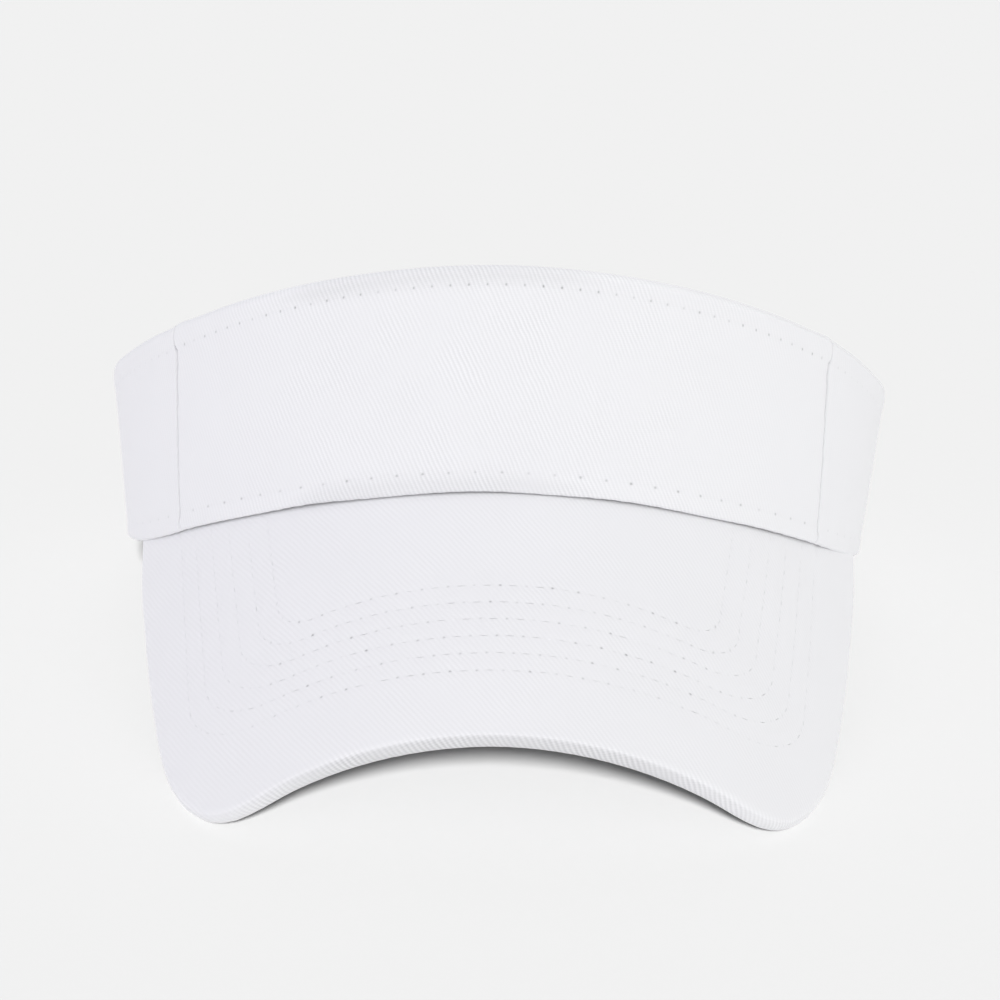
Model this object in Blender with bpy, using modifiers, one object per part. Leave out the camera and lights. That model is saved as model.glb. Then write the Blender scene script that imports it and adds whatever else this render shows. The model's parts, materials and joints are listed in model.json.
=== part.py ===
"""Sun visor: a flared fabric band, a bent brim and a hook-and-loop strap at the back.

Metres, +Z up.  The front faces -Y, and X = 0 is the plane of symmetry of everything but the straps'
overlap.  The visor stands on the two front corners of its brim and on the back of its strap.

Every shape is first worked out in the band's own frame, where the band's rim is level and Z = 0 is
the middle of the brim seam.  One parent empty, visor_frame, tips that frame to the resting pose.
Layers are measured as an inset from the band's outer face, and the brim is drawn as a flat pattern
(across, forward) that is bent round a cylinder.
"""
import math

import bmesh
import bpy
from mathutils import Matrix, Vector

# Gap that touching pieces keep, and the cloths' thicknesses.
GAP = 0.0003
TWILL = 0.0006
BUCKRAM = 0.0008
LINING = 0.0005
TERRY = 0.0014
LABEL = 0.0004

# Band: half width at its sides, reach to the front, and how square its oval is (2 is an ellipse).
BAND_HALF_WIDTH = 0.087
BAND_FRONT = 0.0945
BAND_SQUARENESS = 2.14
FLARE_FRONT = math.radians(7.6)
FLARE_SIDE = math.radians(5.8)
HEIGHT_FRONT = 0.0483
HEIGHT_SIDE = 0.0356
SIDE_BOTTOM = -0.0185
# The upper edge falls as the cube of the angle, and this share of the fall is a rounded shoulder.
SHOULDER_SHARE = 0.19
SHOULDER_START = math.radians(50.0)
SHOULDER_END = math.radians(80.0)
SWEATBAND_HEIGHT = 0.030

# Where the front panel meets the side panels, as an angle round the band from the front.
SEAM_ANGLE_BOTTOM = math.radians(53.6)
SEAM_ANGLE_TOP = math.radians(50.0)
BUCKRAM_ANGLE = math.radians(48.0)
LABEL_ANGLE = math.radians(-79.0)
LABEL_WIDTH = 0.024
LABEL_HEIGHT = 0.014

# Brim: droop below the band's level, radius that it is bent to, and thickness of its board.
BRIM_DROOP = math.radians(38.4)
BRIM_RADIUS = 0.0883
BRIM_BOARD = 0.0020
BRIM_END_ANGLE = math.radians(75.0)
# Right half of the brim's flat outline, from the middle of the front edge to the seam.
BRIM_OUTLINE = (
    (0.0, 0.0711),
    (0.022, 0.0720),
    (0.042, 0.0739),
    (0.054, 0.0755),
    (0.0615, 0.0743),
    (0.068, 0.0697),
    (0.075, 0.0605),
    (0.0815, 0.0468),
    (0.0893, 0.0200),
    (0.0950, -0.0030),
    (0.0990, -0.0197),
    (0.1016, -0.0385),
)

# Straps: the left one lies inside the right one, and the loop and hook tapes lie between them.
STRAP = 0.0020
TAPE = 0.0010
TAPE_CLEARANCE = 0.0010
OVERLAP_RADIUS = 0.0920
STRAP_BLEND_ANGLE = math.radians(45.0)
STRAP_TIP_ANGLE = math.radians(20.0)
FLAP_ANGLE = math.radians(21.5)
HOOK_ANGLES = (math.radians(17.0), math.radians(-18.0))
LOOP_ANGLES = (math.radians(40.0), math.radians(-18.0))
BACK_BOTTOM = -0.0140
BACK_HEIGHT = 0.0320
TAPE_HEIGHT = 0.0220
TIP_ROUNDING = 0.0060
HINGE_CLEARANCE_PANEL = 0.0014
HINGE_CLEARANCE_STRAP = 0.0006

# Topstitching: thread radius, and distance of the band's rows from its edges.
THREAD_RADIUS = 0.00025
TOP_ROW_INSET = 0.0044
BOTTOM_ROW_INSET = 0.0048
# The brim's rows: half width, reach and corner radius of the innermost, each with its step to the
# next row; how much the front bulges, how the sides lean, and how far the corner eases into them.
BRIM_ROWS = 6
BRIM_ROW_SIDE = (0.0486, 0.0047)
BRIM_ROW_FRONT = (0.0276, 0.00493)
BRIM_ROW_CORNER = (0.0085, 0.0023)
BRIM_ROW_BULGE = 0.0022
BRIM_ROW_LEAN = math.atan(0.15)
BRIM_ROW_EASE = 0.10
BRIM_ROW_FOOT = 0.003

# Fineness of the meshes.
PANEL_STEP = math.radians(4.0)
COVER_COLUMNS = 44
COVER_ROWS = 8
ROLL_ROWS = 3
ROLL_END = math.radians(76)
RIM_COLUMNS = 120
RIM_STEPS = 8
ROW_STEPS = 24
ROLL_RADIUS = BRIM_BOARD / 2 + GAP + TWILL
BRIM_THICKNESS = 2 * ROLL_RADIUS
BAND_THICKNESS = TWILL + BUCKRAM + LINING + TERRY + 3 * GAP

WHITE_TWILL = (0.86, 0.86, 0.89, 1.0)
WHITE_TERRY = (0.84, 0.84, 0.85, 1.0)
STIFFENER = (0.70, 0.69, 0.66, 1.0)
BOARD_WHITE = (0.78, 0.78, 0.79, 1.0)
TAPE_WHITE = (0.82, 0.82, 0.84, 1.0)
THREAD_WHITE = (0.90, 0.90, 0.92, 1.0)
LABEL_WHITE = (0.88, 0.88, 0.88, 1.0)


# ---------------------------------------------------------------------------------------------
# Scene helpers


def clear_scene():
    for item in list(bpy.data.objects):
        bpy.data.objects.remove(item, do_unlink=True)


def make_material(name, colour, roughness, sheen=0.0):
    material = bpy.data.materials.new(name)
    material.use_nodes = True
    shader = material.node_tree.nodes["Principled BSDF"]
    shader.inputs["Base Color"].default_value = colour
    shader.inputs["Roughness"].default_value = roughness
    shader.inputs["Metallic"].default_value = 0.0
    shader.inputs["Sheen Weight"].default_value = sheen
    return material


def make_empty(name, location, parent, collection):
    empty = bpy.data.objects.new(name, None)
    empty.empty_display_size = 0.02
    empty.location = location
    empty.parent = parent
    collection.objects.link(empty)
    return empty


def add_object(name, data, pivot, collection, material):
    """Link data, whose points are in the band's frame, under a pivot given as (empty, place)."""
    item = bpy.data.objects.new(name, data)
    item.parent = pivot[0]
    if data.materials:
        data.materials.clear()
    data.materials.append(material)
    collection.objects.link(item)
    return item


def smooth(value):
    """Ease from 0 to 1, flat at both ends."""
    value = min(max(value, 0.0), 1.0)
    return value * value * (3 - 2 * value)


def mix(low, high, share):
    return low + (high - low) * share


def signed_power(value, exponent):
    return math.copysign(abs(value) ** exponent, value)


# ---------------------------------------------------------------------------------------------
# Brim geometry


def brim_point(across, forward, lift=0.0):
    """Point of the brim's top face at a place in its flat pattern, lifted along its normal."""
    bend = across / BRIM_RADIUS
    radius = BRIM_RADIUS + lift
    rise = radius * math.cos(bend) - BRIM_RADIUS
    return Vector((
        radius * math.sin(bend),
        -BAND_FRONT - forward * math.cos(BRIM_DROOP) - rise * math.sin(BRIM_DROOP),
        -forward * math.sin(BRIM_DROOP) + rise * math.cos(BRIM_DROOP),
    ))


def brim_height(x, y):
    """Height of the brim's top face above a place in the band's level plane."""
    sag = BRIM_RADIUS - math.sqrt(BRIM_RADIUS ** 2 - x ** 2)
    forward = (sag * math.sin(BRIM_DROOP) - BAND_FRONT - y) / math.cos(BRIM_DROOP)
    return -forward * math.sin(BRIM_DROOP) - sag * math.cos(BRIM_DROOP)


def flat_place(point):
    """Place in the brim's flat pattern of a point on its top face."""
    sag = BRIM_RADIUS - math.sqrt(BRIM_RADIUS ** 2 - point.x ** 2)
    forward = (sag * math.sin(BRIM_DROOP) - BAND_FRONT - point.y) / math.cos(BRIM_DROOP)
    return Vector((BRIM_RADIUS * math.asin(point.x / BRIM_RADIUS), forward))


def spline_point(points, place):
    """Catmull-Rom curve through flat points; place runs from 0 to the number of spans."""
    span = min(int(place), len(points) - 2)
    share = place - span
    before = points[span - 1] if span > 0 else (-points[1][0], points[1][1])
    start = points[span]
    end = points[span + 1]
    after = points[span + 2] if span + 2 < len(points) else end
    result = []
    for axis in (0, 1):
        tangent_in = (end[axis] - before[axis]) / 2
        tangent_out = (after[axis] - start[axis]) / 2
        result.append(
            (2 * share ** 3 - 3 * share ** 2 + 1) * start[axis]
            + (share ** 3 - 2 * share ** 2 + share) * tangent_in
            + (3 * share ** 2 - 2 * share ** 3) * end[axis]
            + (share ** 3 - share ** 2) * tangent_out
        )
    return Vector(result)


def evenly(points, count):
    """Resample a flat path to count + 1 points at equal distances."""
    lengths = [0.0]
    for first, second in zip(points, points[1:]):
        lengths.append(lengths[-1] + (second - first).length)
    result = []
    index = 0
    for step in range(count + 1):
        target = lengths[-1] * step / count
        while index < len(points) - 2 and lengths[index + 1] < target:
            index += 1
        stretch = lengths[index + 1] - lengths[index]
        result.append(points[index].lerp(points[index + 1], (target - lengths[index]) / stretch))
    return result


def brim_outline(count):
    """Whole flat outline, left end to right end, with the outward direction at each point."""
    spans = len(BRIM_OUTLINE) - 1
    fine = [spline_point(BRIM_OUTLINE, spans * step / 200) for step in range(201)]
    half = evenly(fine, count // 2)
    left = [Vector((-point.x, point.y)) for point in reversed(half[1:])]
    points = left + half
    result = []
    for index, point in enumerate(points):
        before = points[max(index - 1, 0)]
        after = points[min(index + 1, len(points) - 1)]
        along = (after - before).normalized()
        result.append((point, Vector((-along.y, along.x))))
    return result


# ---------------------------------------------------------------------------------------------
# Band and strap geometry


def band_point(angle, height, inset):
    """Point of the band's front half: angle 0 is the front and 90 degrees the right side."""
    share = math.sin(angle) ** 2
    grow = math.tan(mix(FLARE_FRONT, FLARE_SIDE, share)) * height - inset
    power = 2 / BAND_SQUARENESS
    return Vector((
        (BAND_HALF_WIDTH + grow) * signed_power(math.sin(angle), power),
        -(BAND_FRONT + grow) * signed_power(math.cos(angle), power),
        height,
    ))


def seam_height(angle, inset):
    """Height of the band's lower edge: on the brim as far as the brim goes, then level."""
    reach = min(abs(angle), BRIM_END_ANGLE)
    height = 0.0
    for _ in range(12):
        point = band_point(reach, height, inset)
        height = brim_height(point.x, point.y) + GAP
    beyond = (abs(angle) - reach) / (math.pi / 2 - BRIM_END_ANGLE)
    return mix(height, SIDE_BOTTOM, 1 - (1 - beyond) ** 2)


def seam_place(angle, inset):
    """Where the band's layer at this inset meets the brim, in the brim's flat pattern."""
    return flat_place(band_point(angle, seam_height(angle, inset) - GAP, inset))


def angle_at_seam(across):
    """Angle round the band at which the brim seam is this far across the flat pattern."""
    low = -BRIM_END_ANGLE
    high = BRIM_END_ANGLE
    for _ in range(24):
        middle = (low + high) / 2
        if seam_place(middle, 0.0).x < across:
            low = middle
        else:
            high = middle
    return (low + high) / 2


def top_height(angle):
    """Height of the band's upper edge."""
    shoulder = smooth((abs(angle) - SHOULDER_START) / (SHOULDER_END - SHOULDER_START))
    fall = mix((abs(angle) / (math.pi / 2)) ** 3, shoulder, SHOULDER_SHARE)
    slant = mix(HEIGHT_FRONT, HEIGHT_SIDE, fall)
    flare = mix(FLARE_FRONT, FLARE_SIDE, math.sin(angle) ** 2)
    return seam_height(angle, 0.0) + slant * math.cos(flare)


def seam_angle(share):
    """Angle of the front panel's side seam, from its foot (0) to its top (1)."""
    return mix(SEAM_ANGLE_BOTTOM, SEAM_ANGLE_TOP, share)


def end_angle():
    """Angle at which the side panels stop short of the strap hinges."""
    return math.pi / 2 - HINGE_CLEARANCE_PANEL / BAND_HALF_WIDTH


def strap_radius(angle, height, side):
    """Distance of a strap's outer face from the middle; angle 0 is the back."""
    lap = (STRAP + TAPE + GAP + TAPE_CLEARANCE / 2)
    overlap = OVERLAP_RADIUS + (lap if side > 0 else STRAP - lap)
    blend = smooth((abs(angle) - STRAP_BLEND_ANGLE) / (math.pi / 2 - STRAP_BLEND_ANGLE))
    flare = math.tan(FLARE_SIDE * blend) * height
    return mix(overlap, BAND_HALF_WIDTH, blend) + flare


def strap_edges(angle):
    """Heights of a strap's lower and upper edge."""
    blend = smooth((abs(angle) - STRAP_BLEND_ANGLE) / (math.pi / 2 - STRAP_BLEND_ANGLE))
    side_top = SIDE_BOTTOM + HEIGHT_SIDE * math.cos(FLARE_SIDE)
    low = mix(BACK_BOTTOM, SIDE_BOTTOM, blend)
    high = mix(BACK_BOTTOM + BACK_HEIGHT, side_top, blend)
    return low, high


def strap_point(angle, height, side, inset):
    """Point of a strap; its angle is positive on its own side and negative past the middle."""
    radius = strap_radius(angle, height, side) - inset
    return Vector((side * radius * math.sin(angle), radius * math.cos(angle), height))


def flap_axis():
    """Where the closure flap folds away from the right strap, on its outer face."""
    return strap_point(FLAP_ANGLE, 0.0, 1, 0.0)


def hinge_place(side):
    """Where a strap folds away from its side panel, in the middle of the strap's thickness."""
    return Vector((side * (BAND_HALF_WIDTH - STRAP / 2), 0.0, 0.0))


def brim_rim_points():
    """Points all round the rolled edge of the brim."""
    points = []
    for place, outward in brim_outline(RIM_COLUMNS):
        for step in range(RIM_STEPS + 1):
            turn = math.pi * step / RIM_STEPS
            flat = place + outward * ROLL_RADIUS * (math.sin(turn) - 1)
            points.append(brim_point(flat.x, flat.y, ROLL_RADIUS * (math.cos(turn) - 1)))
    return points


def rest_pose():
    """Tip that lets the brim's corners and the back strap stand level, and the place to stand."""
    rim = brim_rim_points()
    foot = strap_point(0.0, BACK_BOTTOM, 1, 0.0)
    tip = max(math.atan2(foot.z - low.z, foot.y - low.y) for low in rim)
    turn = Matrix.Rotation(-tip, 4, "X")
    front = min((turn @ point).y for point in rim)
    back = (turn @ strap_point(0.0, BACK_BOTTOM + BACK_HEIGHT, 1, 0.0)).y
    return tip, Vector((0.0, -(front + back) / 2, -(turn @ foot).z))


# ---------------------------------------------------------------------------------------------
# Shells and threads


def shell(name, columns, rows, place, thickness, outward, setting):
    """Sheet of cloth: a grid laid out by place(a, b), thickened away from its outward side."""
    pivot, collection, material = setting
    mesh = bpy.data.meshes.new(name)
    grid = bmesh.new()
    bmesh.ops.create_grid(grid, x_segments=columns, y_segments=rows, size=0.5)
    for vertex in grid.verts:
        vertex.co = place(vertex.co.x + 0.5, vertex.co.y + 0.5) - pivot[1]
    grid.normal_update()
    facing = 0.0
    for face in grid.faces:
        centre = face.calc_center_median() + pivot[1]
        facing += face.calc_area() * face.normal.dot(outward(centre))
    if facing < 0:
        bmesh.ops.reverse_faces(grid, faces=grid.faces)
    grid.to_mesh(mesh)
    grid.free()
    item = add_object(name, mesh, pivot, collection, material)
    solid = item.modifiers.new("Thickness", "SOLIDIFY")
    solid.thickness = thickness
    solid.offset = -1.0
    solid.use_even_offset = True
    solid.use_quality_normals = True
    mesh.shade_smooth()
    mesh.set_sharp_from_angle(angle=math.radians(40))
    return item


def from_axis(point):
    """Outward side of the band and the straps."""
    return Vector((point.x, point.y, 0.0))


def upward(point):
    return Vector((0.0, 0.0, 1.0))


def downward(point):
    return Vector((0.0, 0.0, -1.0))


def thread(name, points, setting):
    """Row of topstitching, as one thin thread along its points."""
    pivot, collection, material = setting
    curve = bpy.data.curves.new(name, "CURVE")
    curve.dimensions = "3D"
    curve.bevel_depth = THREAD_RADIUS
    curve.bevel_resolution = 0
    curve.use_fill_caps = True
    spline = curve.splines.new("POLY")
    spline.points.add(len(points) - 1)
    for target, point in zip(spline.points, points):
        target.co = (*(point - pivot[1]), 1.0)
    return add_object(name, curve, pivot, collection, material)


# ---------------------------------------------------------------------------------------------
# Band


def steps_between(start, end):
    return max(2, round(abs(end - start) / PANEL_STEP))


def band_sheet(name, start, end, top, inset, thickness, setting, rows=4):
    """Layer of the band between two edges, each a function of the share of its height."""

    def place(a, b):
        angle = mix(start(b), end(b), a)
        low = seam_height(angle, inset + thickness)
        return band_point(angle, mix(low, top(angle), b), inset)

    columns = steps_between(start(0), end(0))
    return shell(name, columns, rows, place, thickness, from_axis, setting)


def make_band(setting_of):
    """Front panel, side panels, their stiffener and linings, the sweatband and its label."""
    half_gap = GAP / 2 / BAND_HALF_WIDTH
    layer = TWILL + GAP
    outer = setting_of("white_twill")
    band_sheet("front_panel", lambda b: -seam_angle(b) + half_gap, lambda b: seam_angle(b) - half_gap,
               top_height, 0.0, TWILL, outer)
    for side, word in ((-1, "left"), (1, "right")):
        band_sheet("side_panel_" + word, lambda b: side * (seam_angle(b) + half_gap),
                   lambda b: side * end_angle(), top_height, 0.0, TWILL, outer)
        band_sheet("side_lining_" + word, lambda b: side * (seam_angle(b) + half_gap),
                   lambda b: side * end_angle(), top_height, layer + BUCKRAM + GAP, LINING,
                   setting_of("white_lining"))
    band_sheet("front_buckram", lambda b: -BUCKRAM_ANGLE, lambda b: BUCKRAM_ANGLE,
               lambda angle: top_height(angle) - 0.002, layer, BUCKRAM, setting_of("buckram"))
    band_sheet("front_lining", lambda b: -seam_angle(b) + half_gap, lambda b: seam_angle(b) - half_gap,
               top_height, layer + BUCKRAM + GAP, LINING, setting_of("white_lining"))
    band_sheet("sweatband", lambda b: -end_angle(), lambda b: end_angle(),
               lambda angle: seam_height(angle, 0.0) + SWEATBAND_HEIGHT,
               BAND_THICKNESS - TERRY, TERRY, setting_of("terry"), rows=3)

    def label_place(a, b):
        angle = LABEL_ANGLE + (a - 0.5) * LABEL_WIDTH / BAND_HALF_WIDTH
        height = seam_height(LABEL_ANGLE, 0.0) + 0.008 + b * LABEL_HEIGHT
        return band_point(angle, height, BAND_THICKNESS + GAP)

    shell("inner_label", 4, 2, label_place, LABEL, from_axis, setting_of("label"))


# ---------------------------------------------------------------------------------------------
# Brim


def brim_sheet(name, side, rolled, thickness, outward, setting):
    """Layer of the brim: side 1 is the top, -1 the underside; a cover's rim rolls round the edge."""
    columns = COVER_COLUMNS
    rows = COVER_ROWS + (ROLL_ROWS if rolled else 0)
    rim = ROLL_RADIUS if rolled else ROLL_RADIUS - GAP
    outline = brim_outline(columns)
    seam = [seam_place(angle_at_seam(point.x), BAND_THICKNESS) for point, _ in outline]

    def place(a, b):
        column = round(a * columns)
        row = round(b * rows)
        point, normal = outline[column]
        edge = point - normal * rim
        if row <= COVER_ROWS:
            flat = seam[column].lerp(edge, row / COVER_ROWS)
            drop = 0.0 if rolled else GAP + TWILL
        else:
            turn = (row - COVER_ROWS) / ROLL_ROWS * ROLL_END
            flat = edge + normal * ROLL_RADIUS * math.sin(turn)
            drop = ROLL_RADIUS * (1 - math.cos(turn))
        lift = -drop if side > 0 else drop - BRIM_THICKNESS
        return brim_point(flat.x, flat.y, lift)

    return shell(name, columns, rows, place, thickness, outward, setting)


def make_brim(setting_of):
    """Board of the brim between its two covers, whose rims roll round the board's edge."""
    brim_sheet("brim_top_cover", 1, True, TWILL, upward, setting_of("white_twill"))
    brim_sheet("brim_under_cover", -1, True, TWILL, downward, setting_of("white_twill"))
    brim_sheet("brim_board", 1, False, BRIM_BOARD, upward, setting_of("brim_board"))


# ---------------------------------------------------------------------------------------------
# Straps and closure


def tip_height(distance):
    """Share of the full height that is left at a distance from a rounded tip."""
    reach = min(max(distance / TIP_ROUNDING, 0.0), 1.0)
    return 1 - 0.35 * (1 - math.sqrt(1 - (1 - reach) ** 2))


def strap_sheet(name, side, start, end, inset, thickness, setting, height=None, rounded=False):
    """Piece of a strap from angle start to angle end, whole height or a strip of it."""

    def place(a, b):
        angle = mix(start, end, a)
        low, high = strap_edges(angle)
        middle = (low + high) / 2
        half = (high - low) / 2 if height is None else height / 2
        if rounded:
            half *= tip_height((angle - end) * OVERLAP_RADIUS)
        return strap_point(angle, middle + (b * 2 - 1) * half, side, inset)

    return shell(name, steps_between(start, end), 3, place, thickness, from_axis, setting)


def make_straps(setting_of, flap_setting_of):
    """Left strap with its loop tape, right strap, and the flap that carries the hook tape."""
    start = math.pi / 2 - HINGE_CLEARANCE_STRAP / BAND_HALF_WIDTH
    flap_gap = GAP / 2 / OVERLAP_RADIUS
    strap_sheet("strap_left", -1, start, -STRAP_TIP_ANGLE, 0.0, STRAP,
                setting_of("white_twill", -1), rounded=True)
    strap_sheet("loop_tape", -1, *LOOP_ANGLES, -GAP - TAPE, TAPE, setting_of("loop", -1), TAPE_HEIGHT)
    strap_sheet("strap_right", 1, start, FLAP_ANGLE + flap_gap, 0.0, STRAP, setting_of("white_twill", 1))
    strap_sheet("closure_flap", 1, FLAP_ANGLE - flap_gap, -STRAP_TIP_ANGLE, 0.0, STRAP,
                flap_setting_of("white_twill"), rounded=True)
    strap_sheet("hook_tape", 1, *HOOK_ANGLES, STRAP + GAP, TAPE, flap_setting_of("hook"), TAPE_HEIGHT)


# ---------------------------------------------------------------------------------------------
# Topstitching


def band_row(height_of, reach):
    lift = -(GAP + THREAD_RADIUS)
    count = 2 * steps_between(0.0, reach)
    points = []
    for step in range(count + 1):
        angle = mix(-reach, reach, step / count)
        points.append(band_point(angle, height_of(angle), lift))
    return points


def brim_row_path(number):
    """Flat path of one row: up one side of the brim, across it and down the other side."""
    side = BRIM_ROW_SIDE[0] + BRIM_ROW_SIDE[1] * number
    front = BRIM_ROW_FRONT[0] + BRIM_ROW_FRONT[1] * number
    corner = BRIM_ROW_CORNER[0] + BRIM_ROW_CORNER[1] * number
    start = side - corner * (math.cos(BRIM_ROW_LEAN) + BRIM_ROW_EASE)
    tilt = math.atan(2 * BRIM_ROW_BULGE / start)
    path = [Vector((start * step / 8, front + BRIM_ROW_BULGE * (step / 8) ** 2)) for step in range(9)]
    centre = path[-1] + corner * Vector((math.sin(tilt), -math.cos(tilt)))
    for step in range(1, 7):
        turn = mix(math.pi / 2 + tilt, BRIM_ROW_LEAN, step / 6)
        path.append(centre + corner * Vector((math.cos(turn), math.sin(turn))))
    foot = path[-1]
    down = Vector((math.sin(BRIM_ROW_LEAN), -math.cos(BRIM_ROW_LEAN)))
    while foot.y > seam_place(angle_at_seam(foot.x), 0.0).y + BRIM_ROW_FOOT:
        foot = foot + down * 0.001
    path.append(foot)
    half = evenly(path, ROW_STEPS)
    return [Vector((-point.x, point.y)) for point in reversed(half[1:])] + half


def make_stitching(setting_of):
    """Rows along the band's two edges and the six rows across the brim."""
    setting = setting_of("thread")
    thread("band_top_thread", band_row(lambda angle: top_height(angle) - TOP_ROW_INSET,
                                       math.radians(86)), setting)
    thread("band_bottom_thread", band_row(lambda angle: seam_height(angle, 0.0) + BOTTOM_ROW_INSET,
                                          math.radians(86)), setting)
    for number in range(BRIM_ROWS):
        flat = brim_row_path(number)
        points = [brim_point(place.x, place.y, GAP + THREAD_RADIUS) for place in flat]
        thread("brim_thread_%d" % (number + 1), points, setting)


# ---------------------------------------------------------------------------------------------
# Assembly


def main():
    clear_scene()
    collection = bpy.data.collections.new("sun_visor")
    bpy.context.scene.collection.children.link(collection)
    materials = {
        "white_twill": make_material("white_twill", WHITE_TWILL, 0.85, 0.2),
        "white_lining": make_material("white_lining", WHITE_TWILL, 0.9),
        "buckram": make_material("buckram", STIFFENER, 0.8),
        "terry": make_material("terry", WHITE_TERRY, 0.95, 0.4),
        "label": make_material("label", LABEL_WHITE, 0.5),
        "brim_board": make_material("brim_board", BOARD_WHITE, 0.45),
        "loop": make_material("loop", TAPE_WHITE, 0.95, 0.4),
        "hook": make_material("hook", TAPE_WHITE, 0.6),
        "thread": make_material("thread", THREAD_WHITE, 0.6),
    }
    tip, place = rest_pose()
    frame = make_empty("visor_frame", place, None, collection)
    frame.rotation_euler = (-tip, 0.0, 0.0)
    pivots = {0: (frame, Vector())}
    for side, word in ((-1, "left"), (1, "right")):
        place = hinge_place(side)
        pivots[side] = (make_empty("strap_%s_hinge" % word, place, frame, collection), place)
    fold = flap_axis()
    flap_empty = make_empty("closure_hinge", fold - pivots[1][1], pivots[1][0], collection)

    def setting_of(material, side=0):
        return pivots[side], collection, materials[material]

    def flap_setting_of(material):
        return (flap_empty, fold), collection, materials[material]

    make_band(setting_of)
    make_brim(setting_of)
    make_straps(setting_of, flap_setting_of)
    make_stitching(setting_of)


main()
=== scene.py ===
"""Looks of the sun visor: its cloth, stitching and finish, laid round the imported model.

Metres, +Z up.  Shapes are worked out in the band's own frame, as the model's are: the rim is level,
Z = 0 is the middle of the brim seam and the front faces -Y.  to_world() tips them to the resting
pose.  Layers are insets from the band's outer face, and the brim is a flat pattern (across,
forward) bent round a cylinder.  Points are numpy arrays whose last axis is x, y, z.
"""
import json
import math

import bmesh
import bpy
import numpy as np
from mathutils import Matrix, Vector

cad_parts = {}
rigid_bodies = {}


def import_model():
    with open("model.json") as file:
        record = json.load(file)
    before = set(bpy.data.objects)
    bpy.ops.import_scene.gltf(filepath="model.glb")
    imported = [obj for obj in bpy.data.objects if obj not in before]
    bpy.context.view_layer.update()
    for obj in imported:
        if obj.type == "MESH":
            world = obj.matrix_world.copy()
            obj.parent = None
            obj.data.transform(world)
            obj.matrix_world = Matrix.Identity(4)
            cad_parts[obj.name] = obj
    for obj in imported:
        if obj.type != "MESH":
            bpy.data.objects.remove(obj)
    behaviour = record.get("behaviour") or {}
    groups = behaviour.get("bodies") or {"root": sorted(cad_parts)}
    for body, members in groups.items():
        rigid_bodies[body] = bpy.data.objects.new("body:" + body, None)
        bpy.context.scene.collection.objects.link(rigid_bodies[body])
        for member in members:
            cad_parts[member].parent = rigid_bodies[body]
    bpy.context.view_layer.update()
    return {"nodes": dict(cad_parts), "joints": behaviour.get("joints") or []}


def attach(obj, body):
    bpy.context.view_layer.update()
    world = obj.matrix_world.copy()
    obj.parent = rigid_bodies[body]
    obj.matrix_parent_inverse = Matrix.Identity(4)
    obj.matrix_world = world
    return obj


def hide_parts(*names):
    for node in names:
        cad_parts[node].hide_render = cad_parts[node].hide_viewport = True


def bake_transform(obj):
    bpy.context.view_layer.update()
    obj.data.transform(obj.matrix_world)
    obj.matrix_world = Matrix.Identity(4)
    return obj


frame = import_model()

# Cloths and gaps, as the model has them.
GAP = 0.0003
TWILL = 0.0006
BUCKRAM = 0.0008
LINING = 0.0005
TERRY = 0.0014
LABEL = 0.0004
BAND_THICKNESS = TWILL + BUCKRAM + LINING + TERRY + 3 * GAP

# Band.
BAND_HALF_WIDTH = 0.087
BAND_FRONT = 0.0945
BAND_SQUARENESS = 2.14
FLARE_FRONT = math.radians(7.6)
FLARE_SIDE = math.radians(5.8)
HEIGHT_FRONT = 0.0483
HEIGHT_SIDE = 0.0356
SIDE_BOTTOM = -0.0185
SHOULDER_SHARE = 0.19
SHOULDER_START = math.radians(50.0)
SHOULDER_END = math.radians(80.0)
# The real sides differ: the left panel stands a little higher, and the right one leans in below.
LEFT_RISE = 0.0015
RISE_START = math.radians(54.0)
RISE_END = math.radians(94.0)
SIDE_LEAN = 0.0014
LEAN_START = math.radians(50.0)
SWEATBAND_HEIGHT = 0.030
SEAM_ANGLE_BOTTOM = math.radians(53.6)
SEAM_ANGLE_TOP = math.radians(50.0)
PANEL_END = math.radians(89.1)
LABEL_ANGLE = math.radians(-79.0)
LABEL_WIDTH = 0.024
LABEL_HEIGHT = 0.014

# Brim: right half of its flat outline, and its bend.
BRIM_DROOP = math.radians(38.4)
BRIM_RADIUS = 0.0883
BRIM_BOARD = 0.0020
BRIM_END_ANGLE = math.radians(75.0)
BRIM_OUTLINE = (
    (0.0, 0.0711),
    (0.022, 0.0720),
    (0.042, 0.0739),
    (0.054, 0.0755),
    (0.0615, 0.0743),
    (0.068, 0.0697),
    (0.075, 0.0605),
    (0.0815, 0.0468),
    (0.0893, 0.0200),
    (0.0950, -0.0030),
    (0.0990, -0.0197),
    (0.1016, -0.0385),
)
ROLL_RADIUS = BRIM_BOARD / 2 + GAP + TWILL
BRIM_THICKNESS = 2 * ROLL_RADIUS
# The real brim isn't quite even: its edge is this far to the right, and its corners this far askew.
BRIM_SHIFT = 0.0008
BRIM_SKEW = 0.0007
BRIM_CORNER = 0.056

# Straps and closure.
STRAP = 0.0020
TAPE = 0.0010
TAPE_CLEARANCE = 0.0010
OVERLAP_RADIUS = 0.0920
STRAP_BLEND_ANGLE = math.radians(45.0)
STRAP_TIP = math.radians(-20.0)
FLAP_ANGLE = math.radians(21.5)
HOOK_ANGLES = (math.radians(17.0), math.radians(-18.0))
LOOP_ANGLES = (math.radians(40.0), math.radians(-18.0))
BACK_BOTTOM = -0.0140
BACK_HEIGHT = 0.0320
TAPE_HEIGHT = 0.0220
TAPE_MIDDLE = BACK_BOTTOM + BACK_HEIGHT / 2
TIP_ROUNDING = 0.0060
TIP_EASE = 0.0012
STRAP_START = math.radians(95.0)
STRAP_ROW_START = math.radians(84.0)
STRAP_ROW_END = math.radians(-17.5)
STRAP_ROW_INSET = 0.0032
STRAP_FOOT = 0.0010
STRAP_EMPHASIS = 0.8
TAPE_ROW_INSET = 0.0014
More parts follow.
